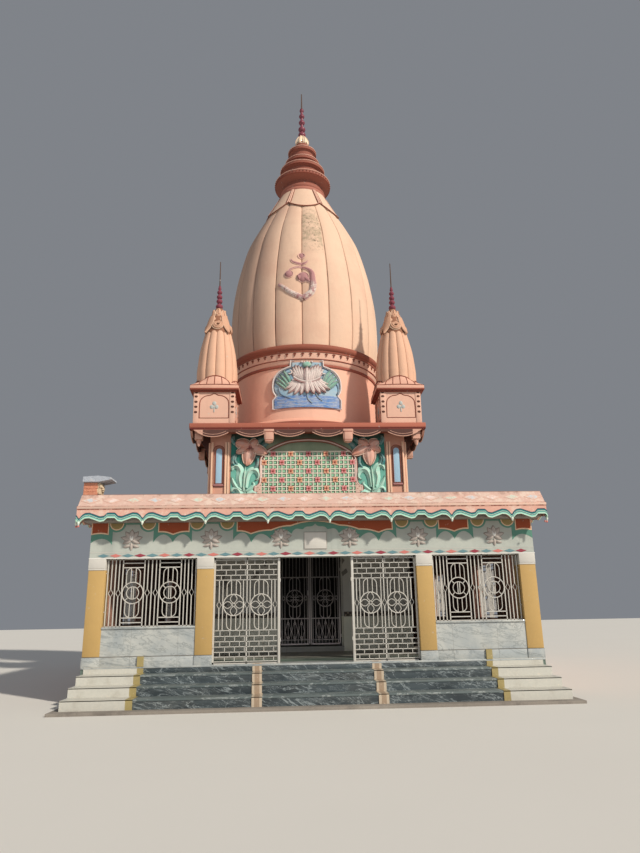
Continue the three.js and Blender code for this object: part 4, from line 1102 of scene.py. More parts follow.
class TEMPLE_OT_lotus(bpy.types.Operator):
    """Lotus panel on the drum's front: rim, water, leaves and petals"""

    bl_idname = "temple.lotus"
    bl_label = "Lotus Panel"

    def execute(self, context):
        panel = Form(SKY)
        panel.plate(lotus_outline(0.02), 0.01, 0.05)
        panel.paint(WATER_BLUE)
        water = [(-0.955, 7.17), (0.955, 7.17), (0.955, 7.42), (0.87, 7.52), (-0.87, 7.52), (-0.955, 7.42)]
        panel.plate(water, 0.012, 0.056)
        self.split(panel)
        panel.paint(PALE_BLUE)
        for k in range(3):
            ripple = [(-0.86 + 1.72 * i / 14, 7.23 + 0.10 * k + 0.022 * math.sin(i * 1.9 + k * 1.3), 0.056)
                      for i in range(15)]
            panel.ropes([ripple], 0.008)
        rim = [(u, z, 0.06) for u, z in lotus_outline()]
        panel.paint(RIM_WHITE)
        panel.ropes([rim], 0.024, closed=True, sides=2)
        panel.paint(NAVY)
        panel.ropes([[(u, z, 0.055) for u, z in lotus_outline(0.045)]], 0.013, closed=True)
        self.flower(panel)
        panel.warp(lambda point: wrapped(point.x, point.y, point.z))
        panel.done("lotus_relief", make_washed, "blue_relief", ["lotus_panel"])
        return {"FINISHED"}

    def split(self, panel):
        """Cuts the flat ground across, so that it can follow the drum."""
        for k in range(-9, 10):
            geometry = list(panel.mesh.verts) + list(panel.mesh.edges) + list(panel.mesh.faces)
            bmesh.ops.bisect_plane(panel.mesh, geom=geometry, plane_co=(k * 0.1, 0, 0), plane_no=(1, 0, 0))

    def petals(self, panel, rows, tint, shadow):
        """Rows of petals, each given by foot, tip, width and curl, laid over one another, each over a wider
        dark backing as painted shadow.
        """
        for k, (foot, tip, width, curl) in enumerate(rows):
            lift = 0.052 + 0.007 * k
            # A wider dark backing under each petal is painted shadow
            panel.paint(shadow)
            self.petal(panel, foot, tip, width + 0.035, 0.03, lift - 0.004, curl, 0.02)
            panel.paint(tint)
            self.petal(panel, foot, tip, width, 0.045, lift, curl, 0.0)

    def petal(self, panel, foot, tip, width, rise, lift, curl, past):
        """One pointed petal with ribs along it; past lengthens its tip."""
        foot, along, across = span(foot, tip)
        along += along.normalized() * past

        def shape(u, v):
            belly = math.sin(math.pi * min(v * 0.84 + 0.14, 1.0)) ** 0.7
            side = (u - 0.5) * width * belly
            spot = foot + along * v + across * (side + curl * v * v)
            crown = (1 - (2 * u - 1) ** 2) * rise * (0.4 + 0.6 * math.sin(math.pi * v * 0.9))
            groove = 0.006 * math.cos(4 * 2 * math.pi * u)
            return (spot.x, spot.y, lift + crown + groove)

        panel.sheet(8, 8, shape, 0.012)

    def flower(self, panel):
        """Green blades, curved stems, a hanging fringe, a bowl-shaped crown with its rim, curls and bud."""
        leaves, fringe, crown = [], [], []
        for side in SIDES:
            for foot, tip, curl in (((0.56, 7.70), (0.86, 8.02), 0.05), ((0.54, 7.76), (0.80, 8.14), 0.06),
                                    ((0.50, 7.82), (0.70, 8.22), 0.07), ((0.46, 7.90), (0.60, 8.30), 0.06)):
                leaves.append(((side * foot[0], foot[1]), (side * tip[0], tip[1]), 0.10, side * curl))
            for x, z, curl in ((0.54, 7.76, -0.13), (0.52, 7.64, -0.13), (0.42, 7.57, -0.10),
                               (0.29, 7.545, -0.06), (0.145, 7.55, -0.03)):
                fringe.append(((side * x * 0.5, 8.03 - 0.05 * x), (side * x, z), 0.155, side * curl))
            for x, z in ((0.40, 8.26), (0.37, 8.38), (0.30, 8.43), (0.22, 8.41), (0.14, 8.36), (0.06, 8.31)):
                crown.append(((side * x * 0.68, 7.90 + 0.85 * x * x), (side * x, z), 0.12, side * 0.02))
        fringe.append(((0.0, 7.96), (0.0, 7.57), 0.15, 0.0))
        crown.append(((0.0, 7.92), (0.0, 8.34), 0.14, 0.0))
        self.petals(panel, leaves, LEAF_GREEN, STEEL_BLUE)
        panel.paint(STEM_BLUE)
        for line in ([(-0.80, 7.78), (-0.72, 7.58), (-0.47, 7.45)], [(0.0, 7.56), (0.03, 7.40), (0.14, 7.28)],
                     [(0.24, 7.58), (0.30, 7.46), (0.42, 7.36)], [(0.80, 7.98), (0.90, 7.80), (0.90, 7.58)]):
            panel.ropes([smooth_line([(u, z, 0.064) for u, z in line], 6)], 0.020)
        self.petals(panel, fringe, RIM_WHITE, MAUVE)
        self.petals(panel, crown, RIM_WHITE, MAUVE)
        bowl = [(0.36 * k / 6, 7.905 + 0.15 * (k / 6) ** 2, 0.135) for k in range(-6, 7)]
        panel.ropes([bowl], 0.022)
        # A mauve line under the crown's rim is painted shadow
        panel.paint(MAUVE)
        panel.ropes([[(u, z - 0.035, 0.125) for u, z, _ in bowl]], 0.022)
        panel.paint(RIM_WHITE)
        for side in SIDES:
            curl = arc(side * 0.47, 8.22, 0.055, 90, 90 + side * 220, 9)
            panel.ropes([[(u, z, 0.10) for u, z in curl]], 0.02)
        panel.paint(LEAF_GREEN)
        panel.ball((0.0, 8.44, 0.075), 0.12, (1.1, 0.8, 0.5))
        panel.paint(RIM_WHITE)
        for k in range(5):
            panel.ball((-0.14 + 0.07 * k, 8.52 - 0.02 * (k % 2), 0.09), 0.034, finer=1)


def make_washed():
    """Thin paint that has washed off in clouds, over carving; the colour is the piece's Tint attribute."""
    work = Finish("washed_carving")
    cloud = work.noise(5.5, 6.0, 0.7).over(0.35, 0.65)
    stroke = work.noise(1.0, 5.0, 0.7, work.stretched(6.0, 6.0, 22.0)).over(0.45, 0.65)
    colour = work.blend(cloud * 0.35 + stroke * 0.2, work.tint(), WORN_WHITE)
    return plastered(work, colour, 0.65, 0.2, 0.004, 0.25, 0.12, 0.7)


# Corner turrets

TURRET_RIBS = 12
TURRET_HALF = 0.54
CAP = {"half": 0.645, "foot": 7.50, "top": 0.56, "middle": 7.81, "corner": 7.62}


def cap_point(turn, v):
    """Point on a turret's cushion cap, at an angle from the front and a share of its height."""
    square = 1 / max(abs(math.sin(turn)), abs(math.cos(turn)))
    foot = CAP["half"] * square
    top_z = CAP["middle"] - (CAP["middle"] - CAP["corner"]) * (square - 1) / (math.sqrt(2) - 1)
    reach = foot + (CAP["top"] - foot) * v ** 2
    return (reach * math.sin(turn), -reach * math.cos(turn), CAP["foot"] + (top_z - CAP["foot"]) * v)


class TEMPLE_OT_turrets(bpy.types.Operator):
    """Four corner turrets: box, cornice, cushion cap, ribbed spire, leaf hood, beads and rod"""

    bl_idname = "temple.turrets"
    bl_label = "Corner Turrets"

    def execute(self, context):
        turret = self.make()
        for node in ("front_left_turret", "front_right_turret", "rear_left_turret", "rear_right_turret"):
            spot = middle(node)
            place = Matrix.Translation((spot.x, spot.y, 0))
            placed(f"{node}_dressed", make_painted, "salmon_paint", [turret], [place], [node], smooth=32,
                   keep=True)
        turret.mesh.free()
        return {"FINISHED"}

    def make(self):
        turret = Form(BAND_PEACH)
        half = TURRET_HALF
        turret.square(half, SLAB_Z, 7.37)
        for x in (-0.48, 0.48):
            for y in (-0.48, 0.48):
                turret.box(x - 0.075, x + 0.075, y - 0.075, y + 0.075, SLAB_Z, 7.38, 0.012)
        turret.paint(RUST_BROWN)
        turret.square(0.60, 7.345, 7.40, 0.008)
        turret.square(0.655, 7.385, 7.43, 0.010)
        turret.paint(CAP_ROSE)
        turret.square(0.65, 7.425, 7.515, 0.015)
        turret.take(self.face(), four_sides(0, half))
        self.cap(turret)
        self.spire(turret)
        self.hood(turret)
        return turret

    def face(self):
        """What is carved on one side of the box, with painted shade at its recessed panel and its notches."""
        face = Form(RED_BROWN)
        half_line = [(0.39, 6.62), (0.385, 7.04), (0.33, 7.17), (0.22, 7.24), (0.10, 7.26), (0.0, 7.31)]
        panel_line = [(-x, z) for x, z in half_line] + half_line[-2::-1]
        # A dark line round the arch panel is painted shade at its recessed edge
        face.ropes([[(x, z, 0.0) for x, z in smooth_line(panel_line, 3)]], 0.012)
        face.ropes([[(-0.39, 6.62, 0.0), (0.39, 6.62, 0.0)]], 0.010)
        face.paint(NOTCH_SHADE_BROWN)
        # Dark half-moons on the corner strips are painted shade in their grooves
        for side in SIDES:
            for z in (7.34, 7.22, 7.07, 6.93, 6.78):
                face.ball((side * 0.487, z, 0.012), 0.052, (1.0, 0.72, 0.16))
        face.paint(FAINT_GREEN)
        for x, z in ((-0.062, 6.93), (0.062, 6.93), (0.0, 7.03)):
            face.ball((x, z, 0.0), 0.055, (1.0, 1.1, 0.3))
        face.box(-0.014, 0.014, 6.78, 6.94, -0.01, 0.012, 0.004)
        return face

    def cap(self, turret):
        turret.paint(CAP_ROSE)
        cushion = Form(CAP_ROSE)
        cushion.turned([(0.0, 0.0)] + [(1.0, k / 6) for k in range(7)] + [(0.0, 1.0)], 48)

        def shape(point):
            if math.hypot(point.x, point.y) < 0.5:
                return (0.0, 0.0, CAP["foot"] + (CAP["middle"] - CAP["foot"]) * point.z)
            return cap_point(math.atan2(point.x, -point.y), point.z)

        turret.take(cushion.warp(shape))
        turret.paint(RED_BROWN)
        for side in range(4):
            for u in (0.18, 0.34, 0.5, 0.66, 0.82):
                turn = math.atan2(2 * u - 1, 1) + side * math.pi / 2
                turret.ropes([[cap_point(turn, 0.12 + 0.88 * k / 8) for k in range(9)]], 0.011)
        for v, radius in ((0.12, 0.011), (1.0, 0.017)):
            turret.ropes([[cap_point(2 * math.pi * k / 64, v) for k in range(64)]], radius, closed=True)

    def spire(self, turret):
        turret.paint(SPIRE_CREAM)
        line = smooth_line([(0.56, 7.60), (0.57, 7.95), (0.565, 8.12), (0.50, 8.70), (0.375, 9.24)], 6)
        turret.fluted([(0.0, 7.60)] + line + [(0.0, 9.24)], TURRET_RIBS, 0.10, 0.5)

    def hood(self, turret):
        turret.paint(HOOD_BROWN)
        turret.turned([(0.0, 9.18), (0.36, 9.18), (0.375, 9.22), (0.355, 9.34), (0.29, 9.60), (0.20, 9.84),
                       (0.135, 10.00), (0.10, 10.06), (0.0, 10.06)], 32)
        carving = Form(HOOD_CREAM)
        self.medallion(carving)
        turret.paint(HOOD_CREAM)
        turret.take(carving, [Matrix.Rotation(math.radians(angle), 4, "Z") for angle in QUARTERS])
        turret.paint(MAROON)
        turret.turned([(0.0, 10.0), (0.045, 10.0), (0.035, 10.80), (0.0, 10.80)], 10)
        for radius, z in ((0.105, 10.14), (0.09, 10.31), (0.083, 10.45), (0.075, 10.60), (0.05, 10.72)):
            turret.ball((0, 0, z), radius, (1.0, 1.0, 0.86))
        turret.paint(DARK_STONE)
        turret.turned([(0.0, 10.74), (0.02, 10.74), (0.012, 11.60), (0.0, 11.60)], 8)

    def medallion(self, carving):
        """One quarter of the hood's carving: round scrolls, leaves over them and the curl at its corner."""
        for across, z, radius, thick in ((0.0, 9.43, 0.135, 0.030), (-0.155, 9.63, 0.085, 0.024),
                                         (0.155, 9.63, 0.085, 0.024), (0.0, 9.80, 0.07, 0.022)):
            reach = 0.375 - (z - 9.25) * 0.36
            lean = Matrix.Rotation(across / reach, 4, "Z") @ Matrix.Translation((0, -reach, z))
            lean = lean @ Matrix.Rotation(math.radians(70), 4, "X")
            scroll = Form(HOOD_CREAM)
            turns = [(k * 24, radius * (1 - k / 46)) for k in range(34)]
            scroll.ropes([[(r * math.sin(math.radians(a)), r * math.cos(math.radians(a)), 0.012 + 0.0012 * k)
                           for k, (a, r) in enumerate(turns)]], thick, sides=2)
            scroll.paint(HOOD_RIM)
            scroll.ropes([arc_line(radius + thick * 0.8, 0.012)], 0.011, closed=True)
            carving.take(scroll, [lean])
        self.leaf(carving, 0.0, 9.80, 10.02, 0.20, 0.13, 0.15, 0.03)
        self.leaf(carving, math.pi / 4, 9.66, 9.98, 0.25, 0.15, 0.17, 0.03)
        self.leaf(carving, math.pi / 4, 9.74, 9.19, 0.24, 0.38, 0.25, 0.07)

    def leaf(self, carving, turn, foot_z, tip_z, foot_r, tip_r, wide, curl):
        """A pointed leaf on the hood with pale edges, at an angle; its tip curls out."""

        def shape(u, v):
            side = (u - 0.5) * wide * math.sin(math.pi * (0.22 + 0.78 * v)) ** 0.8
            out = foot_r + (tip_r - foot_r) * v + curl * v ** 3 + 0.03 * (1 - (2 * u - 1) ** 2)
            z = foot_z + (tip_z - foot_z) * v
            return (
                out * math.sin(turn) + side * math.cos(turn),
                -out * math.cos(turn) + side * math.sin(turn),
                z,
            )

        carving.paint(HOOD_CREAM)
        carving.sheet(6, 8, shape, 0.02)
        carving.paint(HOOD_RIM)
        carving.ropes([[shape(u, k / 8) for k in range(9)] for u in (0.0, 1.0)], 0.010)
        carving.paint(HOOD_BROWN)
        carving.ropes([[shape(0.5, k / 8) for k in range(1, 8)]], 0.007)


def arc_line(radius, lift):
    """A level ring of points about the origin, raised by lift."""
    return [(x, y, lift) for x, y in arc(0.0, 0.0, radius, 0, 345, 23)]


# Tower faces: carved panels between corner strips, and the scalloped eave slab

LATTICE = {"half": 1.24, "flare": 1.36, "flare_z": 4.90, "low": 3.72, "top": 5.775, "pitch": 0.1187}
ARCH_LINE = [
    (1.43, 3.64), (1.43, 4.74), (1.40, 4.82), (1.31, 4.90), (1.285, 5.02), (1.285, 5.50), (1.23, 5.66),
    (1.10, 5.79), (0.86, 5.93), (0.5, 6.06), (0.0, 6.105),
]
NICHE = {"x": 2.4025, "half": 0.135, "low": 4.86, "top": 5.80}


def arch_height(x):
    """Height of the arch above a point across the face."""
    x = abs(x)
    for (x0, z0), (x1, z1) in zip(ARCH_LINE, ARCH_LINE[1:]):
        if x1 <= x <= x0 and x0 > x1:
            return z0 + (z1 - z0) * (x0 - x) / (x0 - x1)
    return ARCH_LINE[-1][1]


class TEMPLE_OT_tower(bpy.types.Operator):
    """Carved green panels, lattice and flowers on the tower's four faces"""

    bl_idname = "temple.tower"
    bl_label = "Tower Faces"

    def execute(self, context):
        dress(make_salmon, "tower_front_wall", "tower_rear_wall", "tower_left_wall", "tower_right_wall")
        places = four_sides(AXIS_Y, TOWER_FACE)
        placed("tower_green_panels", make_green, "blue_relief", [self.ground()], places)
        placed("tower_lattices", make_painted, "blue_relief", [self.lattice()], places)
        carving = [self.leaves(), self.flowers()]
        placed("tower_flowers_and_leaves", make_washed, "blue_relief", carving, places, smooth=50)
        placed("tower_arch_and_niche_trims", make_painted, "salmon_paint", [self.trims()], places)
        return {"FINISHED"}

    def ground(self):
        ground = Form(DEEP_GREEN)
        ground.box(-2.08, 2.08, 3.60, 6.28, -0.02, 0.012)
        ground.paint(LATTICE_DARK)
        low = LATTICE["low"]
        for half, top in ((LATTICE["flare"], LATTICE["flare_z"]), (LATTICE["half"], LATTICE["top"])):
            ground.box(-half, half, low, top, -0.01, 0.016)
        return ground

    def lattice(self):
        """Cream bars with a mint square in every cell and flowers over them, cut to the arch."""
        work = Form(LATTICE_CREAM)
        pitch, low, top_z = LATTICE["pitch"], LATTICE["low"], LATTICE["top"]
        count = int(LATTICE["flare"] / pitch)
        rows = int((top_z - low) / pitch)
        squares = Form(SQUARE_GREEN)
        for i in range(-count, count + 1):
            x = i * pitch
            limit = top_z if abs(x) < LATTICE["half"] else LATTICE["flare_z"]
            top = min(limit, arch_height(x) - 0.09)
            work.box(x - 0.014, x + 0.014, low, top, 0.012, 0.046)
            for k in range(rows):
                z = top_z - (k + 0.5) * pitch
                centre = x + pitch / 2
                if abs(centre) < self.lattice_half(z) and z < arch_height(centre) - 0.12:
                    squares.box(centre - 0.040, centre + 0.022, z - 0.022, z + 0.034, 0.012, 0.030)
        for k in range(rows + 1):
            z = top_z - k * pitch
            half = self.lattice_half(z)
            work.box(-half, half, z - 0.014, z + 0.014, 0.012, 0.049)
        work.take(squares)
        self.rosettes(work, count, rows, 0, ROSETTE_PINK)
        self.rosettes(work, count, rows, 1, ROSETTE_ORANGE)
        work.paint(LATTICE_CREAM)
        work.box(-1.13, 1.13, top_z - 0.02, top_z + 0.02, 0.015, 0.048)
        return work

    def lattice_half(self, z):
        """Half width of the lattice at a height: it widens at its flared foot and narrows under the arch."""
        if z < LATTICE["flare_z"]:
            return LATTICE["flare"]
        return LATTICE["half"] if z < 5.55 else LATTICE["half"] - 0.55 * (z - 5.55)

    def rosettes(self, work, count, rows, parity, tint):
        """Every second flower of each row, in one of the two paints."""
        pitch = LATTICE["pitch"]
        flower = Form(tint)
        for k in range(4):
            turn = math.radians(45 + 90 * k)
            flower.ball((0.052 * math.cos(turn), 0.052 * math.sin(turn), 0.05), 0.042, (1, 1, 0.4), finer=1)
        flower.paint(RUST_RED)
        flower.ball((0, 0, 0.062), 0.03, (1, 1, 0.5), finer=1)
        for k in range(4):
            turn = math.radians(90 * k)
            flower.ball((0.05 * math.cos(turn), 0.05 * math.sin(turn), 0.05), 0.018, (1, 1, 0.5), finer=1)
        spots = []
        for k in range(0, rows + 1, 2):
            shift = 2 if (k // 2) % 2 else 0
            for i in range(-count - 4, count + 5, 4):
                x, z = (i - i % 4 + shift) * pitch, LATTICE["top"] - (k + 0.5) * pitch
                inside = abs(x) < self.lattice_half(z) - 0.04 and z < arch_height(x) - 0.12
                if (i // 4) % 2 == parity and inside:
                    spots.append(Matrix.Translation((x, z, 0)))
        work.take(flower, spots)

    def leaves(self):
        """Scrolling leaves at both sides of the arch, in two heights."""
        work = Form(MINT)
        big = (
            ([(1.80, 4.80), (1.85, 5.06), (1.81, 5.24), (1.89, 5.38), (2.00, 5.37), (2.05, 5.26)], 0.20),
            ([(1.67, 4.80), (1.64, 5.08), (1.57, 5.24), (1.45, 5.28), (1.35, 5.20), (1.335, 5.06),
              (1.43, 5.00)], 0.18),
            ([(1.73, 4.70), (1.715, 5.05), (1.69, 5.40)], 0.09),
            ([(1.76, 4.72), (1.90, 4.80), (2.00, 4.95), (2.05, 5.10)], 0.11),
            ([(1.66, 4.70), (1.54, 4.78), (1.46, 4.88), (1.50, 4.96)], 0.11),
        )
        dark = (
            ([(1.95, 5.36), (2.03, 5.50), (2.00, 5.66), (1.92, 5.72)], 0.12),
            ([(1.90, 5.42), (1.98, 5.56), (1.93, 5.68)], 0.09),
            ([(1.46, 5.32), (1.37, 5.44), (1.38, 5.60), (1.47, 5.66)], 0.11),
        )
        upper = (
            ([(1.30, 5.80), (1.18, 5.98), (1.02, 6.10)], 0.14),
            ([(1.42, 5.98), (1.30, 6.12), (1.14, 6.20)], 0.13),
            ([(1.95, 5.98), (2.04, 6.12), (2.00, 6.24)], 0.12),
            ([(1.52, 6.05), (1.50, 6.18), (1.60, 6.25)], 0.11),
        )
        runs = ((upper, TEAL, (0.0,)), (dark, TEAL, (0.0, -0.95)), (big, LEAF_MINT, (0.0, -0.62, -1.12)))
        for rows, tint, drops in runs:
            work.paint(tint)
            for side in SIDES:
                for drop in drops:
                    for line, width in rows:
                        self.frond(work, [(side * x, z + drop) for x, z in line], width, 0.055)
        work.paint(RIM_MINT)
        for side in SIDES:
            for drop in (0.0, -0.62, -1.12):
                for line, width in big[:3]:
                    edge = smooth_line([(side * x, z + drop, 0.082) for x, z in line], 4)
                    work.ropes([edge[1:-2]], 0.009)
        return work

    def frond(self, work, points, width, rise, ribs=2, lift=0.016):
        """A carved leaf or petal along a line of points, pointed and ribbed. Returns its two edge lines."""
        line = smooth_line(points, 4)
        last = len(line) - 1

        def shape(u, v):
            at = v * last
            k = min(int(at), last - 1)
            start, end = Vector(line[k]), Vector(line[k + 1])
            along = (end - start).normalized()
            belly = math.sin(math.pi * min(0.16 + 0.84 * v, 1.0)) ** 0.7
            spot = start.lerp(end, at - k) + Vector((along.y, -along.x)) * ((u - 0.5) * width * belly)
            crown = (1 - (2 * u - 1) ** 2) * rise * (0.3 + 0.7 * belly)
            return (spot.x, spot.y, lift + crown + 0.007 * math.cos(ribs * 2 * math.pi * u))

        work.sheet(4 + 3 * ribs, last, shape, 0.02)
        return [[shape(u, k / last) for k in range(last)] for u in (0.02, 0.98)]

    def flowers(self):
        work = Form(FLOWER_BROWN)
        left = ((-1.56, 5.90), ((-1.98, 6.03, 0.34), (-1.95, 5.74, 0.20), (-1.655, 5.39, 0.36),
                                (-1.10, 5.71, 0.28), (-1.36, 6.10, 0.24)))
        right = ((1.645, 5.89), ((1.935, 6.06, 0.30), (1.35, 6.08, 0.26), (1.97, 5.76, 0.26),
                                 (1.66, 5.37, 0.36), (1.17, 5.67, 0.28)))
        for (x, z), tips in (left, right):
            for k, (tip_x, tip_z, width) in enumerate(tips):
                work.paint(FLOWER_SHADOW)
                line = [(x, z), ((x + tip_x) / 2, (z + tip_z) / 2 + 0.02), (tip_x, tip_z)]
                self.frond(work, line, width + 0.04, 0.06, 1, 0.018 + 0.006 * k)
                work.paint(FLOWER_BROWN)
                edges = self.frond(work, line, width, 0.085, 3, 0.026 + 0.006 * k)
                work.paint(FLOWER_RIM)
                work.ropes([[(px, pz, out + 0.024) for px, pz, out in edge] for edge in edges], 0.011)
            work.paint(RUST_RED)
            for k in range(5):
                turn = math.radians(-140 + 25 * k)
                end = (x + 0.11 * math.cos(turn), z + 0.11 * math.sin(turn), 0.15)
                work.ropes([[(x, z, 0.12), end]], 0.010)
                work.ball(end, 0.018, finer=1)
            work.ball((x, z, 0.11), 0.045, (1, 1, 0.6))
        return work

    def trims(self):
        """Lips of the arch, its flared feet and the frames of the niches."""
        work = Form(PALE_PINK)
        right = smooth_line(ARCH_LINE, 4)
        line = right + [(-x, z) for x, z in reversed(right[:-1])]
        work.ropes([[(x, z, 0.045) for x, z in line]], 0.017, sides=2)
        work.paint(LINE_BROWN)
        work.ropes([[(x * 1.02, z + 0.028 * (z > 5.6), 0.04) for x, z in line]], 0.011)
        # The brown line just inside the lip, under it at the arch's head, is painted shadow
        work.ropes([[(x * 0.972, z - 0.034 * (z > 5.6), 0.04) for x, z in line]], 0.010)
        self.feet(work)
        self.niches(work)
        return work

    def feet(self, work):
        """Pale bands down both sides of the arch, their speckled feet and the corner strips' pale borders."""
        work.paint(PALE_PINK)
        work.twins(1.235, 1.285, 4.95, 5.56, 0.0, 0.05, 0.004)
        for side in SIDES:
            work.paint(COPING_CREAM)
            foot = [(1.25, 3.66), (1.43, 3.66), (1.43, 4.74), (1.40, 4.82), (1.31, 4.91), (1.25, 4.93)]
            work.plate([(side * x, z) for x, z in foot], 0.0, 0.052, 0.004)
            work.paint(LINE_BROWN)
            for k in range(22):
                x, z = side * (1.285 + 0.10 * ((k * 0.618) % 1.0)), 4.86 - 0.055 * k
                work.ball((x, z, 0.052), 0.014, (1, 1, 0.5), finer=1)
        work.paint(STRIP_CREAM)
        for x, half in ((2.146, 0.026), (2.214, 0.026), (2.577, 0.030)):
            work.twins(x - half, x + half, 3.66, 6.05, 0.0, 0.046, 0.004)

    def niches(self, work):
        """Thin arched lines round the recessed niches, their ledges and pale blue panels."""
        work.paint(LINE_BROWN)
        for side in SIDES:
            x = side * NICHE["x"]
            for reach, radius, lift in ((NICHE["half"] + 0.02, 0.010, 0.042), (0.095, 0.009, 0.016)):
                low = NICHE["low"] + (NICHE["half"] - reach) + 0.02
                head = [(px, pz, lift) for px, pz in arc(x, NICHE["top"], reach, 0, 180, 12)]
                work.ropes([[(x + reach, low, lift)] + head + [(x - reach, low, lift)]], radius, closed=True)
        work.paint(MAUVE)
        work.twins(NICHE["x"] - 0.13, NICHE["x"] + 0.13, 4.845, 4.90, 0.0, 0.045, 0.006)
        work.paint(NICHE_BLUE)
        for side in SIDES:
            x = side * (NICHE["x"] - 0.012)
            head = arc(x, NICHE["top"], 0.086, 0, 180, 12)
            work.plate([(x + 0.086, 4.93)] + head + [(x - 0.086, 4.93)], 0.0, 0.014, 0.004)


def make_green():
    """Brushed ground of the carved panels: painted shade under the slab, mint below, olive above the lattice.
    """
    work = Finish("green_panel_ground")
    brushed = work.noise(1.0, 6.0, 0.65, work.stretched(5.0, 5.0, 2.0))
    colour = work.blend(brushed, shown(34, 100, 90), shown(58, 140, 126))
    colour = work.blend(work.z.over(5.6, 5.1) * 0.7, colour, MINT)
    across = abs(work.x).least(abs(work.y - AXIS_Y))
    middle_part = across.over(1.24, 1.16) * work.z.over(5.76, 5.78)
    colour = work.blend(middle_part, colour, work.blend(brushed, shown(116, 134, 108), shown(166, 176, 148)))
    # Painted shade under the slab
    colour = work.blend(work.z.over(5.90, 6.25) * 0.7, colour, shown(44, 58, 50))
    colour, height, fine = weathered(work, colour, 0.3, 0.15, 0.7)
    return work.done(colour, 0.7 + fine * 0.2, height + brushed, 0.008)


SCALLOPS = {"count": 6, "pitch": 1.01, "drop": 0.185, "top": 6.265}
BLOCK_X = 1.05


class TEMPLE_OT_slab(bpy.types.Operator):
    """Eave slab's paint, the lips of its scallops, and the trim of its blocks and pendants"""

    bl_idname = "temple.slab"
    bl_label = "Eave Slab"

    def execute(self, context):
        dress(make_slab, "eave_slab")
        placed("slab_scallop_lips", make_painted, "salmon_paint", [self.lip()], four_sides(AXIS_Y, SLAB_HALF))
        return {"FINISHED"}

    def lip(self):
        work = Form(LIP_PINK)
        pitch, count = SCALLOPS["pitch"], SCALLOPS["count"]
        start = -pitch * count / 2
        arcs = ((LIP_PINK, 0.004, 0.014, 0.10, -0.012), (LIP_PINK, 0.066, 0.007, 0.16, 0.0))
        for tint, lift, radius, inset, out in arcs:
            work.paint(tint)
            for k in range(count):
                shares = [inset + (1 - 2 * inset) * i / 12 for i in range(13)]
                curve = [(start + pitch * (k + share), SCALLOPS["top"] + lift
                          - SCALLOPS["drop"] * 4 * share * (1 - share), out) for share in shares]
                work.ropes([curve], radius)
        work.paint(NOTCH_SHADE_BROWN)
        # Dark blocks where the scallops meet are painted shade in the gaps
        for k in range(1, count):
            x = start + pitch * k
            work.box(x - 0.10, x + 0.10, 6.205, 6.30, -0.03, 0.003)
        work.paint(TERRACOTTA)
        work.box(-SLAB_HALF, SLAB_HALF, 6.33, 6.452, -0.04, 0.012, 0.008)
        # A dark band under the terracotta band is painted shadow
        work.paint(SLAB_SHADOW_RED)
        work.box(-SLAB_HALF, SLAB_HALF, 6.285, 6.325, -0.03, 0.004)
        work.paint(LIP_PINK)
        work.twins(BLOCK_X - 0.13, BLOCK_X + 0.13, 6.215, 6.285, -0.17, 0.014, 0.010)
        work.twins(BLOCK_X - 0.10, BLOCK_X + 0.10, 5.95, 6.22, -0.16, 0.018, 0.012)
        for side in SIDES:
            for reach in SIDES:
                curl = arc(side * BLOCK_X + reach * 0.20, 6.215, 0.055, 90, 90 + reach * 200, 8)
                work.ropes([[(px, pz, -0.02) for px, pz in curl]], 0.018)
        work.paint(LINE_BROWN)
        for z in (5.99, 6.21):
            work.twins(BLOCK_X - 0.102, BLOCK_X + 0.102, z - 0.008, z + 0.008, -0.16, 0.022)
        return work


def make_slab():
    """Terracotta slab over an underside and scallops painted dark as shade, with pink hanging blocks."""
    work = Finish("slab_paint")
    rough = work.noise(1.6, 6.0, 0.7)
    reach = abs(work.x).most(abs(work.y - AXIS_Y))
    # Painted shade on the underside and the scallops' faces
    under = work.blend(reach.over(3.0, 3.04), shown(74, 44, 38), shown(90, 60, 54))
    colour = work.blend(work.z.over(6.27, 6.285), under, TERRACOTTA)
    inner = abs(work.x).least(abs(work.y - AXIS_Y))
    hung = (1.0 - abs(inner - BLOCK_X).over(0.13, 0.15)).most(inner.over(2.78, 2.80)) * reach.over(2.76, 2.80)
    colour = work.blend(hung * work.z.over(6.28, 6.26), colour, LIP_PINK)
    colour = work.blend(rough.over(0.52, 0.7) * 0.25, colour, shown(206, 146, 122))
    return plastered(work, colour, 0.78, 0.15, 0.006, 0.3, 0.12, 0.6)


# Hall: frieze, eaves, pilasters, dados, grilles and steps

WAVE = {"period": 1.231, "start": 0.055}
WAVE_RISE = [
    (0.0, 0.0), (0.02, 0.040), (0.05, 0.085), (0.09, 0.116), (0.16, 0.124), (0.25, 0.084), (0.33, 0.048),
    (0.39, 0.060), (0.44, 0.122), (0.56, 0.122), (0.61, 0.060), (0.67, 0.048), (0.75, 0.084), (0.84, 0.124),
    (0.91, 0.116), (0.95, 0.085), (0.98, 0.040), (1.0, 0.0),
]


def wave_height(x, start, period):
    """Height of the eave's lower edge at a distance along it."""
    phase = ((x - start) / period) % 1.0
    for (p0, r0), (p1, r1) in zip(WAVE_RISE, WAVE_RISE[1:]):
        if phase <= p1:
            return WAVE_TIP_Z + r0 + (r1 - r0) * (phase - p0) / (p1 - p0)
    return WAVE_TIP_Z


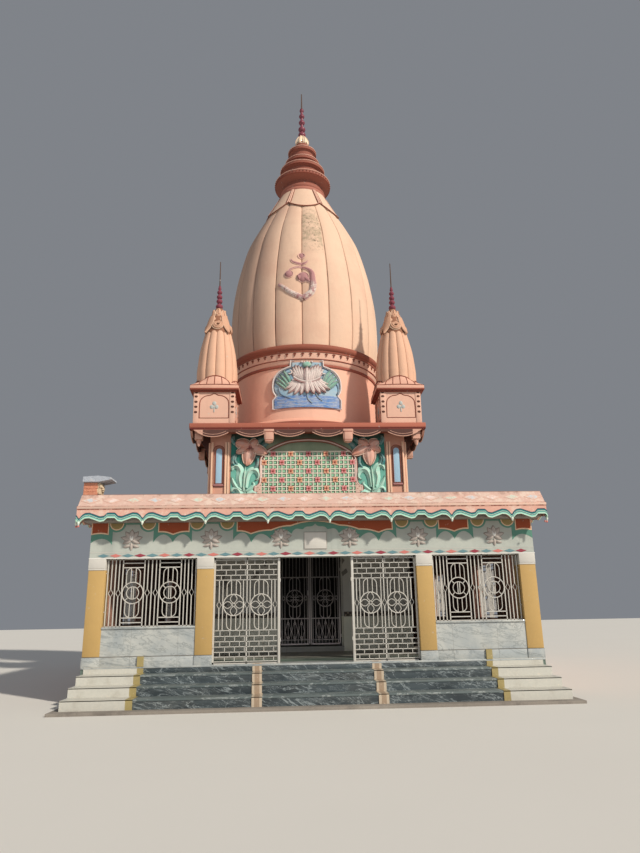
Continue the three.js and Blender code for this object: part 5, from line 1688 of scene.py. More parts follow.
class TEMPLE_OT_eaves(bpy.types.Operator):
    """Paint on the hall's four eaves: wave bands, knobs, groove and faded diamonds"""

    bl_idname = "temple.eaves"
    bl_label = "Hall Eaves"

    def execute(self, context):
        dress(make_coping, "front_eave", "rear_eave", "left_eave", "right_eave")
        long_side = 2 * EAVE_HALF
        deep = EAVE_BACK_Y - EAVE_FRONT_Y
        middle_y = (EAVE_BACK_Y + EAVE_FRONT_Y) / 2
        side_period = (deep - 2 * WAVE["start"]) / 9
        runs = (
            ("front", 0, deep / 2, long_side, WAVE["period"]),
            ("right", 90, EAVE_HALF, deep, side_period),
            ("rear", 180, deep / 2, long_side, WAVE["period"]),
            ("left", 270, EAVE_HALF, deep, side_period),
        )
        for word, angle, reach, length, period in runs:
            place = facing(angle, middle_y, reach) @ Matrix.Translation((-length / 2, 0, 0))
            bands = [self.bands(length, period)]
            placed(f"{word}_eave_wave_paint", make_painted, "salmon_paint", bands, [place])
            trim = [self.trim(length, word in ("front", "rear"))]
            placed(f"{word}_eave_diamonds_and_groove", make_worn_paint, "salmon_paint", trim, [place])
        return {"FINISHED"}

    def bands(self, length, period):
        work = Form(TEAL)
        steps = int(length / period * 60)
        layers = ((NAVY, 0.096, 0.082, 0.010), (TEAL, 0.082, 0.054, 0.008), (PALE_MINT, 0.054, 0.043, 0.011),
                  (NAVY, 0.043, 0.031, 0.008), (MINT, 0.031, 0.010, 0.011), (RIM_MINT, 0.010, -0.010, 0.016))
        for tint, upper, lower, proud in layers:
            work.paint(tint)

            def shape(u, v):
                x = length * u
                low = wave_height(x, WAVE["start"], period)
                return (x, low + lower + (upper - lower) * v, proud)

            work.sheet(steps, 1, shape, proud + 0.004)
        tips = [WAVE["start"] + k * period for k in range(int(length / period) + 1)]
        work.paint(TIP_WHITE)
        for x in tips:
            work.ball((x, WAVE_TIP_Z + 0.018, 0.012), 0.028, (0.9, 1.3, 0.8))
            work.ball((x, WAVE_TIP_Z - 0.016, 0.010), 0.015)
        work.paint(CORAL)
        for x in (tips[0], length - tips[0]):
            work.ball((x, WAVE_TIP_Z - 0.045, 0.004), 0.022)
        return work

    def trim(self, length, sloped):
        work = Form(RED_BROWN)
        groove_z, lip_z = 3.628, 3.676
        # The dark strip at the groove is painted shade
        work.box(0.0, length, groove_z - 0.016, groove_z, -0.02, 0.006)
        work.box(0.0, length, lip_z, lip_z + 0.008, -0.04, 0.006)
        work.paint(COPING_CREAM)
        work.box(0.0, length, groove_z, lip_z, -0.03, 0.012, 0.006)
        pitch = 0.428
        count = int((length - 0.36) / pitch) + 1
        start = (length - (count - 1) * pitch) / 2
        rise, run = COPING_Z - COPING_FOOT_Z, 0.25
        lean = math.hypot(rise, run) if sloped else rise
        sign_up = (rise / lean, run / lean) if sloped else (1.0, 0.0)
        for k in range(count):
            x = start + k * pitch
            middle_tint = (FADED_BLUE, RIM_WHITE, FADED_MINT)[k % 3]
            for tint, half, high, lift in ((COPING_ROSE, 0.195, 0.094, 0.003),
                                           (COPING_PALE, 0.165, 0.078, 0.005),
                                           (middle_tint, 0.115, 0.056, 0.007)):
                work.paint(tint)
                outline = diamond_line(x, 0.0, half, high, 0.4, 0.62)
                self.leaning(work, outline, sign_up, 0.55 * lean, lift)
        return work

    def leaning(self, work, outline, sign_up, middle_up, lift):
        """A thin plate drawn on the coping's slope."""
        flat = Form(work.tint)
        flat.plate(outline, -0.002, lift)
        up, back = sign_up
        lean = Matrix((
            (1, 0, 0, 0),
            (0, up, back, COPING_FOOT_Z + up * middle_up),
            (0, -back, up, -back * middle_up),
            (0, 0, 0, 1),
        ))
        work.take(flat, [lean])


def make_coping():
    """Pale pink plaster of the eaves, creamier along its lower band, stained along its top, with a dark band
    at its top edge and painted shade on its underside and inner faces.
    """
    work = Finish("coping_plaster")
    worn = work.noise(1.4, 6.0, 0.7)
    colour = work.blend(work.z.over(3.60, 3.66), shown(222, 172, 154), shown(214, 180, 166))
    colour = work.blend(worn.over(0.45, 0.7) * 0.45, colour, shown(212, 160, 142))
    pale = work.noise(3.4, 7.0, 0.75).over(0.50, 0.60)
    colour = work.blend(pale * 0.55, colour, shown(232, 214, 198))
    rust = work.noise(5.0, 7.0, 0.8, work.stretched(0.7, 0.7, 2.2)).over(0.60, 0.68) * work.z.over(3.64, 3.70)
    colour = work.blend(rust * 0.55, colour, shown(164, 96, 66))
    runs = work.noise(4.0, 5.0, 0.7, work.stretched(1.0, 1.0, 0.3)).over(0.5, 0.68)
    stains = work.z.over(3.80, 3.96) * runs
    colour = work.blend(stains * 0.6, colour, shown(118, 84, 70))
    # A dark band along the very top edge
    colour = work.blend(work.z.over(3.935, 3.95) * 0.7, colour, shown(132, 88, 72))
    # Painted shade on the eave's underside and inner faces
    depth = (EAVE_HALF - abs(work.x)).least(work.y - EAVE_FRONT_Y).least(EAVE_BACK_Y - work.y)
    colour = work.blend(depth.over(0.03, 0.045) * work.z.over(3.62, 3.56) * 0.85, colour, shown(108, 92, 82))
    return plastered(work, colour, 0.82, 0.12, 0.008, 0.5, 0.12, 0.5)


def make_worn_paint():
    """Thin old paint that has flaked off in patches and shows the pink ground."""
    work = Finish("flaked_paint")
    flaked = work.noise(11.0, 7.0, 0.8).over(0.46, 0.54)
    colour = work.blend(flaked * 0.75, work.tint(), shown(222, 180, 162))
    return plastered(work, colour, 0.8, 0.12, 0.003, 0.35, 0.1, 0.4)


# Hanging fields of the frieze, left half mirrored: cusps of the green edge, its arch tops and the cream line
LOBE_XS = (1.79, 2.404, 3.374, 4.01)
FRIEZE_TOP_Z = 3.40
RELIEF_Z = 3.06
DIAMOND_Z = 2.750
SWAG = {
    "green": [(1.67, 3.04), (1.30, 2.985), (0.91, 3.045), (0.485, 3.15), (0.25, 3.235), (0.0, 3.35)],
    "arches": (3.185, 3.155, 3.255, 3.25, 3.292),
    "cream": [(1.60, 3.205), (1.31, 3.145), (0.90, 3.215), (0.50, 3.30), (0.0, 3.395)],
}
DROP = {
    "green": [(3.27, 3.01), (2.878, 3.01), (2.50, 3.01)],
    "arches": (3.165, 3.165),
    "cream": [(3.182, 3.205), (2.878, 3.150), (2.55, 3.205)],
}
END = {"green": [(4.51, 3.005), (4.085, 2.97)], "arches": (3.09,), "cream": [(4.51, 3.165), (4.165, 3.165)]}


class TEMPLE_OT_frieze(bpy.types.Operator):
    """Painted frieze of the hall: hanging fields, cusped band, lotus reliefs, bare plaque and diamonds"""

    bl_idname = "temple.frieze"
    bl_label = "Frieze"

    def execute(self, context):
        dress(make_frieze, "front_beam")
        front, rear = facing(0, 0, -HALL_FRONT_Y), facing(180, 0, HALL_BACK_Y)
        placed("front_frieze_paint", make_painted, "whitewash", [self.fields()], [front])
        placed("front_frieze_lotus_reliefs", make_painted, "whitewash", [self.reliefs()], [front], smooth=50)
        rows = Form()
        rows.take(self.diamonds(HALL_HALF), [front, rear])
        flanks = [facing(angle, HALL_MID_Y, HALL_HALF) for angle in (90, 270)]
        rows.take(self.diamonds((HALL_BACK_Y - HALL_FRONT_Y) / 2), flanks)
        rows.done("frieze_diamond_rows", make_painted, "whitewash")
        return {"FINISHED"}

    def fields(self):
        """Orange fields edged in cream and green, drawn for the left and mirrored."""
        work = Form(BAND_GREEN)
        work.twins(1.66, 4.1, FRIEZE_TOP_Z - 0.032, FRIEZE_TOP_Z, -0.002, 0.002)
        for side in SIDES:
            for x in LOBE_XS:
                work.paint(BAND_GREEN)
                work.plate(arc(side * x, FRIEZE_TOP_Z, 0.185, 180, 360, 14), -0.002, 0.003)
                for tint, radius, proud in ((CREAM, 0.142, 0.006), (OLIVE, 0.122, 0.008)):
                    work.paint(tint)
                    work.plate(arc(side * x, FRIEZE_TOP_Z - 0.005, radius, 180, 360, 12), -0.002, proud)
            for field in (SWAG, DROP, END):
                self.field(work, side, field)
        work.paint(RELIEF_GREY)
        work.box(-0.232, 0.232, 2.832, 3.178, 0.0, 0.016, 0.006)
        work.paint(WORN_WHITE)
        work.box(-0.222, 0.222, 2.842, 3.168, 0.0, 0.022, 0.006)
        return work

    def field(self, work, side, field):
        """One hanging field: a cusped green edge, a cream line and the orange inside it."""
        edge = []
        green = field["green"]
        for (x0, z0), (x1, z1), top in zip(green, green[1:], field["arches"]):
            for k in range(8):
                t = k / 8
                bow = math.sin(math.pi * t) ** 0.8
                straight = z0 + (z1 - z0) * t
                edge.append((side * (x0 + (x1 - x0) * t), straight + (top - straight) * bow))
        edge.append((side * green[-1][0], green[-1][1]))
        work.paint(BAND_GREEN)
        top_z = FRIEZE_TOP_Z + 0.002
        work.plate([(edge[0][0], top_z)] + edge + [(edge[-1][0], top_z)], -0.002, 0.004)
        for tint, rise, proud in ((CREAM, 0.0, 0.007), (ORANGE, 0.026, 0.010)):
            work.paint(tint)
            line = []
            cream = field["cream"]
            shrink = rise * 0.8 * side
            for (x0, z0), (x1, z1) in zip(cream, cream[1:]):
                line += [(side * (x0 + (x1 - x0) * k / 5), z0 + (z1 - z0) * k / 5
                          + 0.022 * math.sin(math.pi * k / 5) + rise) for k in range(5)]
            line.append((side * cream[-1][0], cream[-1][1] + rise))
            line[0] = (line[0][0] - shrink, line[0][1])
            line[-1] = (line[-1][0] + shrink, line[-1][1])
            line = [(x, min(z, FRIEZE_TOP_Z)) for x, z in line]
            top_z = FRIEZE_TOP_Z + 0.004
            work.plate([(line[0][0], top_z)] + line + [(line[-1][0], top_z)], -0.002, proud)

    def reliefs(self):
        """Low lotus carvings between the fields, with leaves and a tip below, each petal over a darker
        backing as painted shadow and two white petals as painted highlight.
        """
        fan = ((90, 0.19, 0.11), (52, 0.19, 0.10), (128, 0.19, 0.10), (14, 0.20, 0.09), (166, 0.20, 0.09),
               (-24, 0.17, 0.08), (204, 0.17, 0.08))
        work = Form(RELIEF_GREY)
        for x in (-3.70, -2.11, -0.70, 0.70, 2.11, 3.70):
            # The darker, larger copy under each petal is painted shadow
            for tint, share, lift in ((RELIEF_SHADOW, 1.12, 0.0), (RELIEF_GREY, 1.0, 0.008)):
                work.paint(tint)
                for angle, reach, width in fan:
                    turn = math.radians(angle)
                    tip = (x + reach * share * math.cos(turn), RELIEF_Z + reach * share * math.sin(turn))
                    self.relief_petal(work, (x, RELIEF_Z), tip, width * share, lift)
                for reach in SIDES:
                    foot = (x + reach * 0.02, 2.95)
                    self.relief_petal(work, foot, (x + reach * 0.16, 2.915), 0.06 * share, lift)
                self.relief_petal(work, (x, 3.0), (x, 2.85), 0.07 * share, lift)
            # Two white petals at the middle are painted highlight
            work.paint(WHITE)
            for angle in (70, 110):
                turn = math.radians(angle)
                tip = (x + 0.11 * math.cos(turn), 3.05 + 0.11 * math.sin(turn))
                self.relief_petal(work, (x, 3.045), tip, 0.05, 0.022)
        return work

    def relief_petal(self, work, foot, tip, width, lift):
        foot, along, across = span(foot, tip)

        def shape(u, v):
            belly = math.sin(math.pi * min(0.12 + 0.85 * v, 1.0))
            spot = foot + along * v + across * ((u - 0.5) * width * belly)
            crown = 0.026 * (1 - (2 * u - 1) ** 2) * math.sin(math.pi * min(v + 0.1, 1.0))
            return (spot.x, spot.y, 0.004 + lift + crown)

        work.sheet(5, 5, shape, 0.006)

    def diamonds(self, half):
        """Row of small diamonds along the foot of the beam, blue ones between two reds."""
        work = Form(WHITE)
        work.box(-half, half, 2.690, 2.712, -0.002, 0.012)
        work.paint(WORN_WHITE)
        work.box(-half, half, 2.812, 2.820, -0.002, 0.005)
        pitch = 0.2423
        count = int(half / pitch) + 3
        for remainder, tint in ((0, MAROON_RED), (1, STEEL_BLUE), (2, CORAL), (3, STEEL_BLUE)):
            work.paint(tint)
            for k in range(-count, count + 1):
                x = -0.605 + k * pitch
                if k % 4 == remainder and abs(x) < half - 0.1:
                    outline = diamond_line(x, DIAMOND_Z, 0.118, 0.037, 0.045 / 0.118, 0.021 / 0.037)
                    work.plate(outline, -0.002, 0.006)
        return work


def make_frieze():
    """Whitewash with a pale green cast, streaked, and darkened towards its top by painted shade under the
    eave.
    """
    work = Finish("frieze_whitewash")
    drift = work.noise(1.8, 6.0, 0.7)
    colour = work.blend(drift, FRIEZE_GREY, shown(198, 200, 190))
    # Painted shade under the eave
    colour = work.blend(work.z.over(2.85, 3.3) * 0.3, colour, shown(112, 110, 98))
    return plastered(work, colour, 0.82, 0.12, 0.005, 0.4, 0.12, 0.5)


class TEMPLE_OT_fronts(bpy.types.Operator):
    """Pilasters, dados and the marble base course of the hall's front"""

    bl_idname = "temple.fronts"
    bl_label = "Pilasters and Dados"

    def execute(self, context):
        for side in ("left", "right"):
            for place in ("outer", "inner"):
                self.pilaster(f"{side}_{place}_pilaster")
            self.sill(f"{side}_window_dado")
        dress(make_marble, "left_window_dado", "right_window_dado")
        dress(make_salmon, "left_wall", "right_wall", "rear_wall")
        dress(make_floor_stone, "plinth")
        dress(make_concrete, "roof_slab", "step_base")
        return {"FINISHED"}

    def pilaster(self, node):
        low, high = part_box(node)
        x0, x1, y1 = low.x, high.x, high.y
        shaft = Form(OCHRE)
        block_z = PILASTER_BLOCK_Z
        shaft.box(x0, x1, HALL_FRONT_Y, y1, BASE_TOP_Z + 0.008, block_z, 0.012)
        shaft.paint(WORN_WHITE)
        shaft.box(x0 - 0.004, x1 + 0.004, low.y, y1, block_z + 0.005, BEAM_Z, 0.01)
        shaft.box(x0 - 0.002, x1 + 0.002, low.y + 0.006, y1, block_z - 0.03, block_z + 0.006, 0.006)
        shaft.done(f"{node}_dressed", make_painted, "ochre_paint", [node])
        block(f"{node}_marble_foot", make_marble, "white_marble", x0 - 0.006, x1 + 0.006,
              HALL_FRONT_Y - 0.012, y1, FLOOR_Z, BASE_TOP_Z + 0.008, 0.006)

    def sill(self, node):
        low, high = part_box(node)
        slab = Form(WHITE)
        slab.box(low.x, high.x, low.y - 0.03, high.y, SILL_Z - 0.035, SILL_Z - 0.001, 0.008)
        slab.box(low.x, high.x, low.y - 0.014, low.y + 0.02, FLOOR_Z, BASE_TOP_Z, 0.005)
        slab.done(f"{node}_sill_and_foot", make_marble, "white_marble")


class Grille:
    """A flat grille drawn in across and up, with its bars between the depths back and front."""

    def __init__(self, back, front):
        self.form = Form(WHITE)
        self.back = back
        self.front = front

    def upright(self, x, z0, z1, width=0.02):
        self.form.box(x - width / 2, x + width / 2, z0, z1, self.back, self.front)

    def rail(self, x0, x1, z, width=0.02):
        self.form.box(x0, x1, z - width / 2, z + width / 2, self.back, self.front)

    def frame(self, x0, x1, z0, z1, width):
        self.upright(x0 + width / 2, z0, z1, width)
        self.upright(x1 - width / 2, z0, z1, width)
        self.rail(x0, x1, z0 + width / 2, width)
        self.rail(x0, x1, z1 - width / 2, width)

    def line(self, points, radius=0.009, closed=False):
        depth = (self.back + self.front) / 2
        self.form.ropes([[(x, z, depth) for x, z in points]], radius, closed)

    def circle(self, x, z, radius, bar=0.009):
        self.line(arc(x, z, radius, 0, 345, 23), bar, True)

    def diamond(self, x, z, half, high):
        """Open diamond on an upright."""
        self.line([(x - half, z), (x, z - high), (x + half, z), (x, z + high)], closed=True)

    def studded(self, x, z0, z1, z, width=0.018):
        """Upright broken by an open diamond."""
        self.upright(x, z0, z - 0.07, width)
        self.upright(x, z + 0.07, z1, width)
        self.diamond(x, z, 0.046, 0.076)

    def rosette(self, x, z, radius):
        """Hoop with an inner ring, two uprights inside it and four slanted links."""
        inner = radius * 0.58
        self.circle(x, z, radius, 0.011)
        self.circle(x, z, inner, 0.009)
        for a in (45, 135, 225, 315):
            across, up = math.cos(math.radians(a)), math.sin(math.radians(a))
            self.line([(x + reach * across, z + reach * up) for reach in (inner, radius)])
        for reach in (-0.02, 0.02):
            self.upright(x + reach, z - inner, z + inner, 0.014)

    def four_petals(self, x, z, radius):
        """Hoop with four pointed petals round a small ring."""
        self.circle(x, z, radius, 0.011)
        self.circle(x, z, 0.03, 0.007)
        for a in QUARTERS:
            turn = math.radians(a)
            petal_line = []
            for side in (1, -1):
                for k in range(7)[::side][:6]:
                    along = 0.028 + (radius - 0.028) * k / 6
                    across = side * 0.066 * math.sin(math.pi * k / 6) ** 0.85
                    petal_line.append((x + along * math.cos(turn) - across * math.sin(turn),
                                       z + along * math.sin(turn) + across * math.cos(turn)))
            self.line(petal_line, 0.008, True)

    def lantern(self, x, z, far, radius):
        """Two straight bars from a hoop to a rail, between two that curve in to meet them."""
        up = 1 if far > z else -1
        inner, outer = 0.047, 0.135
        for side in SIDES:
            start = z + up * math.sqrt(radius ** 2 - inner ** 2)
            self.line([(x + side * inner, start), (x + side * inner, far)])
            bend = []
            for a in (0, 25, 50, 70, 90):
                turn = math.radians(a)
                bend.append((x + side * (inner + (outer - inner) * math.cos(turn)),
                             far - up * (0.014 + 0.10 * (1 - math.sin(turn)))))
            self.line([(x + side * outer, z + up * math.sqrt(radius ** 2 - outer ** 2))] + bend)

    def bricks(self, x0, x1, levels, brick):
        """Bars laid like brickwork: rails with short uprights that change place from row to row."""
        for z in levels:
            self.rail(x0, x1, z, 0.014)
        for k, (low, high) in enumerate(zip(levels, levels[1:])):
            x = x0 + brick * (0.5 if k % 2 else 1.0)
            while x < x1 - 0.02:
                self.upright(x, low, high, 0.012)
                x += brick


def window_pattern(half, z0, z1):
    """Grille of a window about its middle: two ringed hoops, double rails, uprights and open diamonds."""
    work = Grille(-0.009, 0.009)
    middle_z = (z0 + z1) / 2 - 0.01
    rail_z, top_rail_z, hoop = z0 + 0.169, z1 - 0.170, 0.206
    work.rail(-half, half, z0 + 0.008, 0.016)
    work.rail(-half, half, z1 - 0.008, 0.016)
    work.upright(0.0, z0, z1)
    for side in SIDES:
        for x in (0.15, 0.577, 0.72):
            work.upright(side * x, z0, z1)
        for x in (0.08, 0.648, 0.795):
            work.studded(side * x, z0, z1, middle_z)
        extra = 0.87
        while extra < half - 0.02:
            work.upright(side * extra, z0, z1)
            extra += 0.075
        x0, x1 = sorted((side * 0.15, side * 0.577))
        for z in (z0 + 0.079, rail_z, top_rail_z, z1 - 0.083):
            work.rail(x0, x1, z, 0.018)
        centre = side * 0.366
        work.rosette(centre, middle_z, hoop)
        work.lantern(centre, middle_z, rail_z, hoop)
        work.lantern(centre, middle_z, top_rail_z, hoop)
        x0, x1 = sorted((side * (extra - 0.075 if extra > 0.88 else 0.795), side * half))
        for z in (z0 + 0.285, z1 - 0.28):
            work.rail(x0, x1, z, 0.018)
    return work.form


class TEMPLE_OT_grilles(bpy.types.Operator):
    """White steel grilles in the windows and beside the entrance"""

    bl_idname = "temple.grilles"
    bl_label = "Grilles"

    def execute(self, context):
        for side in ("left", "right"):
            self.window(f"{side}_front_window_grille", 0)
            self.entrance(f"{side}_entrance_grille", -1 if side == "left" else 1)
        for side, angle in (("left", 270), ("right", 90), ("rear", 180)):
            for k in (1, 2):
                self.window(f"{side}_window_grille_{k}", angle)
        return {"FINISHED"}

    def window(self, node, angle):
        low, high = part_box(node)
        spot = middle(node)
        half = max(high.x - low.x, high.y - low.y) / 2
        place = Matrix.Translation((spot.x, spot.y, 0)) @ facing(angle, 0, 0)
        bars = [window_pattern(half, low.z, high.z)]
        placed(f"{node}_bars", make_steel, "white_steel", bars, [place], [node])

    def entrance(self, node, side):
        """Panel beside the way in, drawn from its post outwards."""
        low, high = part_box(node)
        width = high.x - low.x
        work = Grille(-0.012, 0.012)
        work.frame(0.012, width, low.z, high.z, 0.036)
        work.form.box(0.008, 0.058, low.z, high.z, -0.02, 0.03, 0.008)
        for z in (1.09, 2.23):
            work.form.box(-0.004, 0.012, z - 0.035, z + 0.035, 0.0, 0.035, 0.005)
        rail_z, middle_z, top_rail_z, hoop, brick = 1.281, 1.766, 2.250, 0.206, 0.191
        for levels in ((top_rail_z, 2.343, 2.447, 2.551, 2.645, high.z - 0.03),
                       (low.z + 0.03, 0.705, 0.792, 0.879, 0.977, 1.074, 1.173, rail_z)):
            work.bricks(0.04, width - 0.04, levels, brick)
        for x in (0.387, 0.934):
            work.four_petals(x, middle_z, hoop)
            work.lantern(x, middle_z, rail_z, hoop)
            work.lantern(x, middle_z, top_rail_z, hoop)
        for x in (0.111, 0.669, 1.221):
            work.studded(x, rail_z, top_rail_z, middle_z)
        for z0, z1 in ((low.z, rail_z), (top_rail_z, high.z)):
            work.upright(0.669, z0, z1, 0.024)
        for x in (0.178, 0.607, 0.742, 1.148):
            work.upright(x, rail_z, top_rail_z, 0.015)
        depth = -(low.y + high.y) / 2
        inner = low.x if side > 0 else high.x
        place = facing(0, 0, depth) @ Matrix.Translation((inner, 0, 0)) @ Matrix.Diagonal((side, 1, 1, 1))
        placed(f"{node}_bars", make_steel, "white_steel", [work.form], [place], [node])


class TEMPLE_OT_gate(bpy.types.Operator):
    """Dark inner gate: frame, two leaves with their fine bars, and the walls beside it"""

    bl_idname = "temple.gate"
    bl_label = "Inner Gate"

    def execute(self, context):
        dress(make_iron, "gate_frame")
        dress(make_inner_wall, "tower_front_left", "tower_front_right")
        dress(make_floor_stone, "sanctum_floor")
        for word, side in (("left", -1), ("right", 1)):
            self.leaf(word, side)
        band = Form(BAND_GREY)
        band.twins(0.86, 2.6, TOWER_LINE_Y - 0.012, TOWER_LINE_Y + 0.02, 1.485, 1.60, 0.004)
        band.paint(CREAM_STONE)
        for side in SIDES:
            for k in range(14):
                for z in (1.515, 1.570):
                    x = side * (0.90 + 0.12 * k + (0.06 if z > 1.55 else 0.0))
                    band.ball((x, TOWER_LINE_Y - 0.012, z), 0.018, (1.0, 0.5, 1.0), finer=1)
        band.done("inner_wall_bands", make_painted, "ochre_paint")
        low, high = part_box("gate_frame")
        jambs = Form(CREAM_STONE)
        jambs.twins(0.800, 0.864, low.y - 0.012, low.y + 0.004, low.z, high.z, 0.003)
        jambs.done("inner_wall_jambs", make_inner_wall, "whitewash")
        return {"FINISHED"}

    def leaf(self, word, side):
        node = f"{word}_gate_leaf"
        low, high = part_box(node)
        x0, x1 = 0.006, 0.776
        z0, z1 = low.z, high.z
        work = Grille(-0.008, 0.008)
        bar = 0.036
        for limits in ((x0, x0 + bar, z0, z1), (x1 - bar, x1, z0, z1),
                       (x0, x1, z0, z0 + bar), (x0, x1, z1 - bar, z1)):
            work.form.box(*limits, -0.018, 0.018, 0.003)
        centre = (x0 + x1) / 2
        rail_z, middle_z, top_rail_z, hoop = 1.449, 1.945, 2.471, 0.21
        for z in (rail_z, top_rail_z):
            work.rail(x0, x1, z, 0.026)
        work.four_petals(centre, middle_z, hoop)
        work.lantern(centre, middle_z, rail_z, hoop)
        work.lantern(centre, middle_z, top_rail_z, hoop)
        for reach in (-0.03, 0.03):
            work.rail(centre - 0.12, centre + 0.12, middle_z + reach, 0.012)
            work.upright(centre + reach, middle_z - 0.12, middle_z + 0.12, 0.012)
        for k in range(8):
            work.upright(x0 + 0.075 + 0.089 * k, top_rail_z, z1, 0.012)
        for x in (0.25, 0.32):
            for reach in (-x, x):
                work.upright(centre + reach, z0, top_rail_z, 0.013)
        for x in (-0.285, 0.285):
            work.diamond(centre + x, 1.95, 0.035, 0.06)
        for k in range(3):
            x = centre + (k - 1) * 0.17
            work.upright(x, z0, rail_z, 0.010)
            work.line([(x, 1.43), (x - 0.075, 1.14), (x, 0.86), (x + 0.075, 1.14)], 0.007, True)
            work.diamond(x, 1.33, 0.026, 0.04)
            work.circle(x, 0.99, 0.024, 0.006)
        for x in (-0.085, 0.085):
            work.upright(centre + x, z0, rail_z, 0.010)
        work.rail(x0, x1, z0 + 0.12, 0.012)
        if side < 0:
            work.form.box(x0 + 0.01, x0 + 0.06, 2.02, 2.14, -0.022, 0.03, 0.004)
        self.hinges(work, x1)
        place = facing(0, 0, -(GATE_Y + 0.018)) @ Matrix.Diagonal((side, 1, 1, 1))
        placed(f"{node}_bars", make_iron, "dark_iron", [work.form], [place], [node], f"{word}_gate")

    def hinges(self, work, x1):
        """Eyes that turn on the frame's pins, behind the leaf."""
        bore, rim, pin_x = 0.0075, 0.013, 0.788
        for z in (1.0, 2.64):
            low, high = z + 0.001, z + 0.05
            eye = Form()
            eye.turned([(bore, low), (rim, low), (rim, high), (bore, high), (bore, low)], 16)
            work.form.take(eye, [Matrix(((1, 0, 0, pin_x), (0, 0, 1, 0), (0, 1, 0, -0.032), (0, 0, 0, 1)))])
            work.form.box(x1 - 0.03, 0.7775, low, high, -0.034, -0.014)


def make_inner_wall():
    """Wall beside the inner gate: grey with dark blots above, paler olive cream below the band."""
    work = Finish("inner_wall_paint")
    base = work.blend(work.z.over(1.48, 1.50), shown(236, 234, 214), shown(196, 194, 186))
    blots = work.noise(3.4, 2.0, 0.4).over(0.66, 0.70) * work.z.over(1.55, 1.65)
    base = work.blend(blots * 0.8, base, shown(96, 92, 88))
    return plastered(work, base, 0.75, 0.2, 0.005, 0.3, 0.15, 0.5)


# Middles of the inlaid stripes across the porch, and half the width of the wider one
GOLD_X = 3.385
SPECKLED_X = 1.160
STRIPE_HALF = 0.06


class TEMPLE_OT_steps(bpy.types.Operator):
    """Marble steps with grey treads and inlaid stripes"""

    bl_idname = "temple.steps"
    bl_label = "Steps"

    def execute(self, context):
        dress(make_dark_marble, "step_1", "step_2", "step_3")
        treads = Form(WHITE)
        levels = [(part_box(f"step_{k}")[0].y, highest(f"step_{k}").z) for k in (1, 2, 3)]
        half = highest("step_1").x
        backs = [levels[1][0], levels[2][0], HALL_FRONT_Y]
        for (front, top), back in zip(levels, backs):
            treads.box(-half, half, front - 0.012, back - 0.001, top - 0.028, top + 0.006, 0.008)
        treads.done("step_treads", make_tread, "dark_marble")
        block("porch_riser", make_dark_marble, "dark_marble", -half, half, HALL_FRONT_Y - 0.012,
              HALL_FRONT_Y + 0.01, levels[2][1], FLOOR_Z - 0.03, 0.002)
        block("porch_floor_edge", make_marble, "white_marble", -HALL_HALF, HALL_HALF, HALL_FRONT_Y - 0.022,
              HALL_FRONT_Y + 0.5, FLOOR_Z - 0.032, FLOOR_Z + 0.004, 0.01)
        self.stripes(levels, backs, half)
        return {"FINISHED"}

    def stripes(self, levels, backs, half):
        """Inlaid bands down the steps, each a little further in on every lower step."""
        work = Form(GOLD_STONE)
        runs = levels + [(HALL_FRONT_Y, FLOOR_Z)]
        floor = highest("step_base").z
        for k, ((front, top), back) in enumerate(zip(runs, backs + [HALL_FRONT_Y + 0.3])):
            drop = (3 - k) / 3
            gold, speckled = GOLD_X - 0.10 * drop, SPECKLED_X - 0.055 * drop
            wide, narrow = STRIPE_HALF, STRIPE_HALF * 0.75
            bands = (
                (gold - wide, gold + wide, GOLD_STONE),
                (speckled - 2 * narrow, speckled - narrow, CREAM_STONE),
                (speckled - narrow, speckled + narrow, BROWN_STONE),
                (speckled + narrow, speckled + 2 * narrow, CREAM_STONE),
                (gold + wide, half + 0.012, PALE_STONE),
            )
            for near, far, tint in bands:
                work.paint(tint)
                work.twins(near, far, front - 0.018, front + 0.004, floor, top + 0.004)
                work.twins(near, far, front - 0.018, back - 0.002, top - 0.01, top + 0.010)
            floor = top
        work.paint(GOLD_STONE)
        work.twins(3.33, 3.45, HALL_FRONT_Y - 0.030, HALL_FRONT_Y + 0.02, FLOOR_Z, BASE_TOP_Z + 0.006)
        work.done("step_inlay_stripes", make_inlay, "ochre_paint")


class TEMPLE_OT_pier(bpy.types.Operator):
    """Broken brick pier on the roof's corner, with its slab cap"""

    bl_idname = "temple.pier"
    bl_label = "Roof Pier"

    def execute(self, context):
        low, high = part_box("roof_corner_pier")
        pier = Form(BRICK)
        rows = 4
        tall = (high.z - low.z) / rows
        for k in range(rows):
            inset = 0.012 * (k % 2) + 0.02
            z = low.z + k * tall
            far = high.x - 0.09 - inset
            pier.box(low.x + 0.01, far, low.y + 0.01, high.y - 0.01, z, z + tall - 0.003, 0.006)
        pier.paint(BROKEN_CREAM)
        pier.box(low.x + 0.03, high.x - 0.05, low.y + 0.03, high.y - 0.03, low.z, high.z, 0.03)
        for k in range(14):
            angle = k * 2.4
            x = high.x - 0.05 - 0.02 * math.cos(angle)
            y = low.y + 0.03 + (high.y - low.y - 0.06) * ((k * 0.37) % 1.0)
            z = low.z + 0.03 + (high.z - low.z - 0.06) * ((k * 0.61) % 1.0)
            pier.ball((x, y, z), 0.035 + 0.012 * math.sin(angle), (1.0, 1.0, 0.8), finer=1)
        pier.done("roof_corner_pier_broken", make_brick, "terracotta_paint", ["roof_corner_pier"], smooth=20)
        low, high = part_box("roof_corner_pier_cap")
        outline = [(low.x, low.z), (high.x - 0.25, low.z), (high.x, low.z + 0.05),
                   (high.x - 0.02, high.z - 0.035), (low.x + 0.3, high.z), (low.x, high.z - 0.02)]
        slab = Form(CAP_GREY)
        slab.plate(outline, 0.0, high.y - low.y, 0.01)
        place = facing(0, 0, -high.y)
        placed("roof_corner_pier_cap_worn", make_brick, "concrete", [slab], [place], ["roof_corner_pier_cap"],
               smooth=20)
        return {"FINISHED"}


# Stage: floor, light and camera

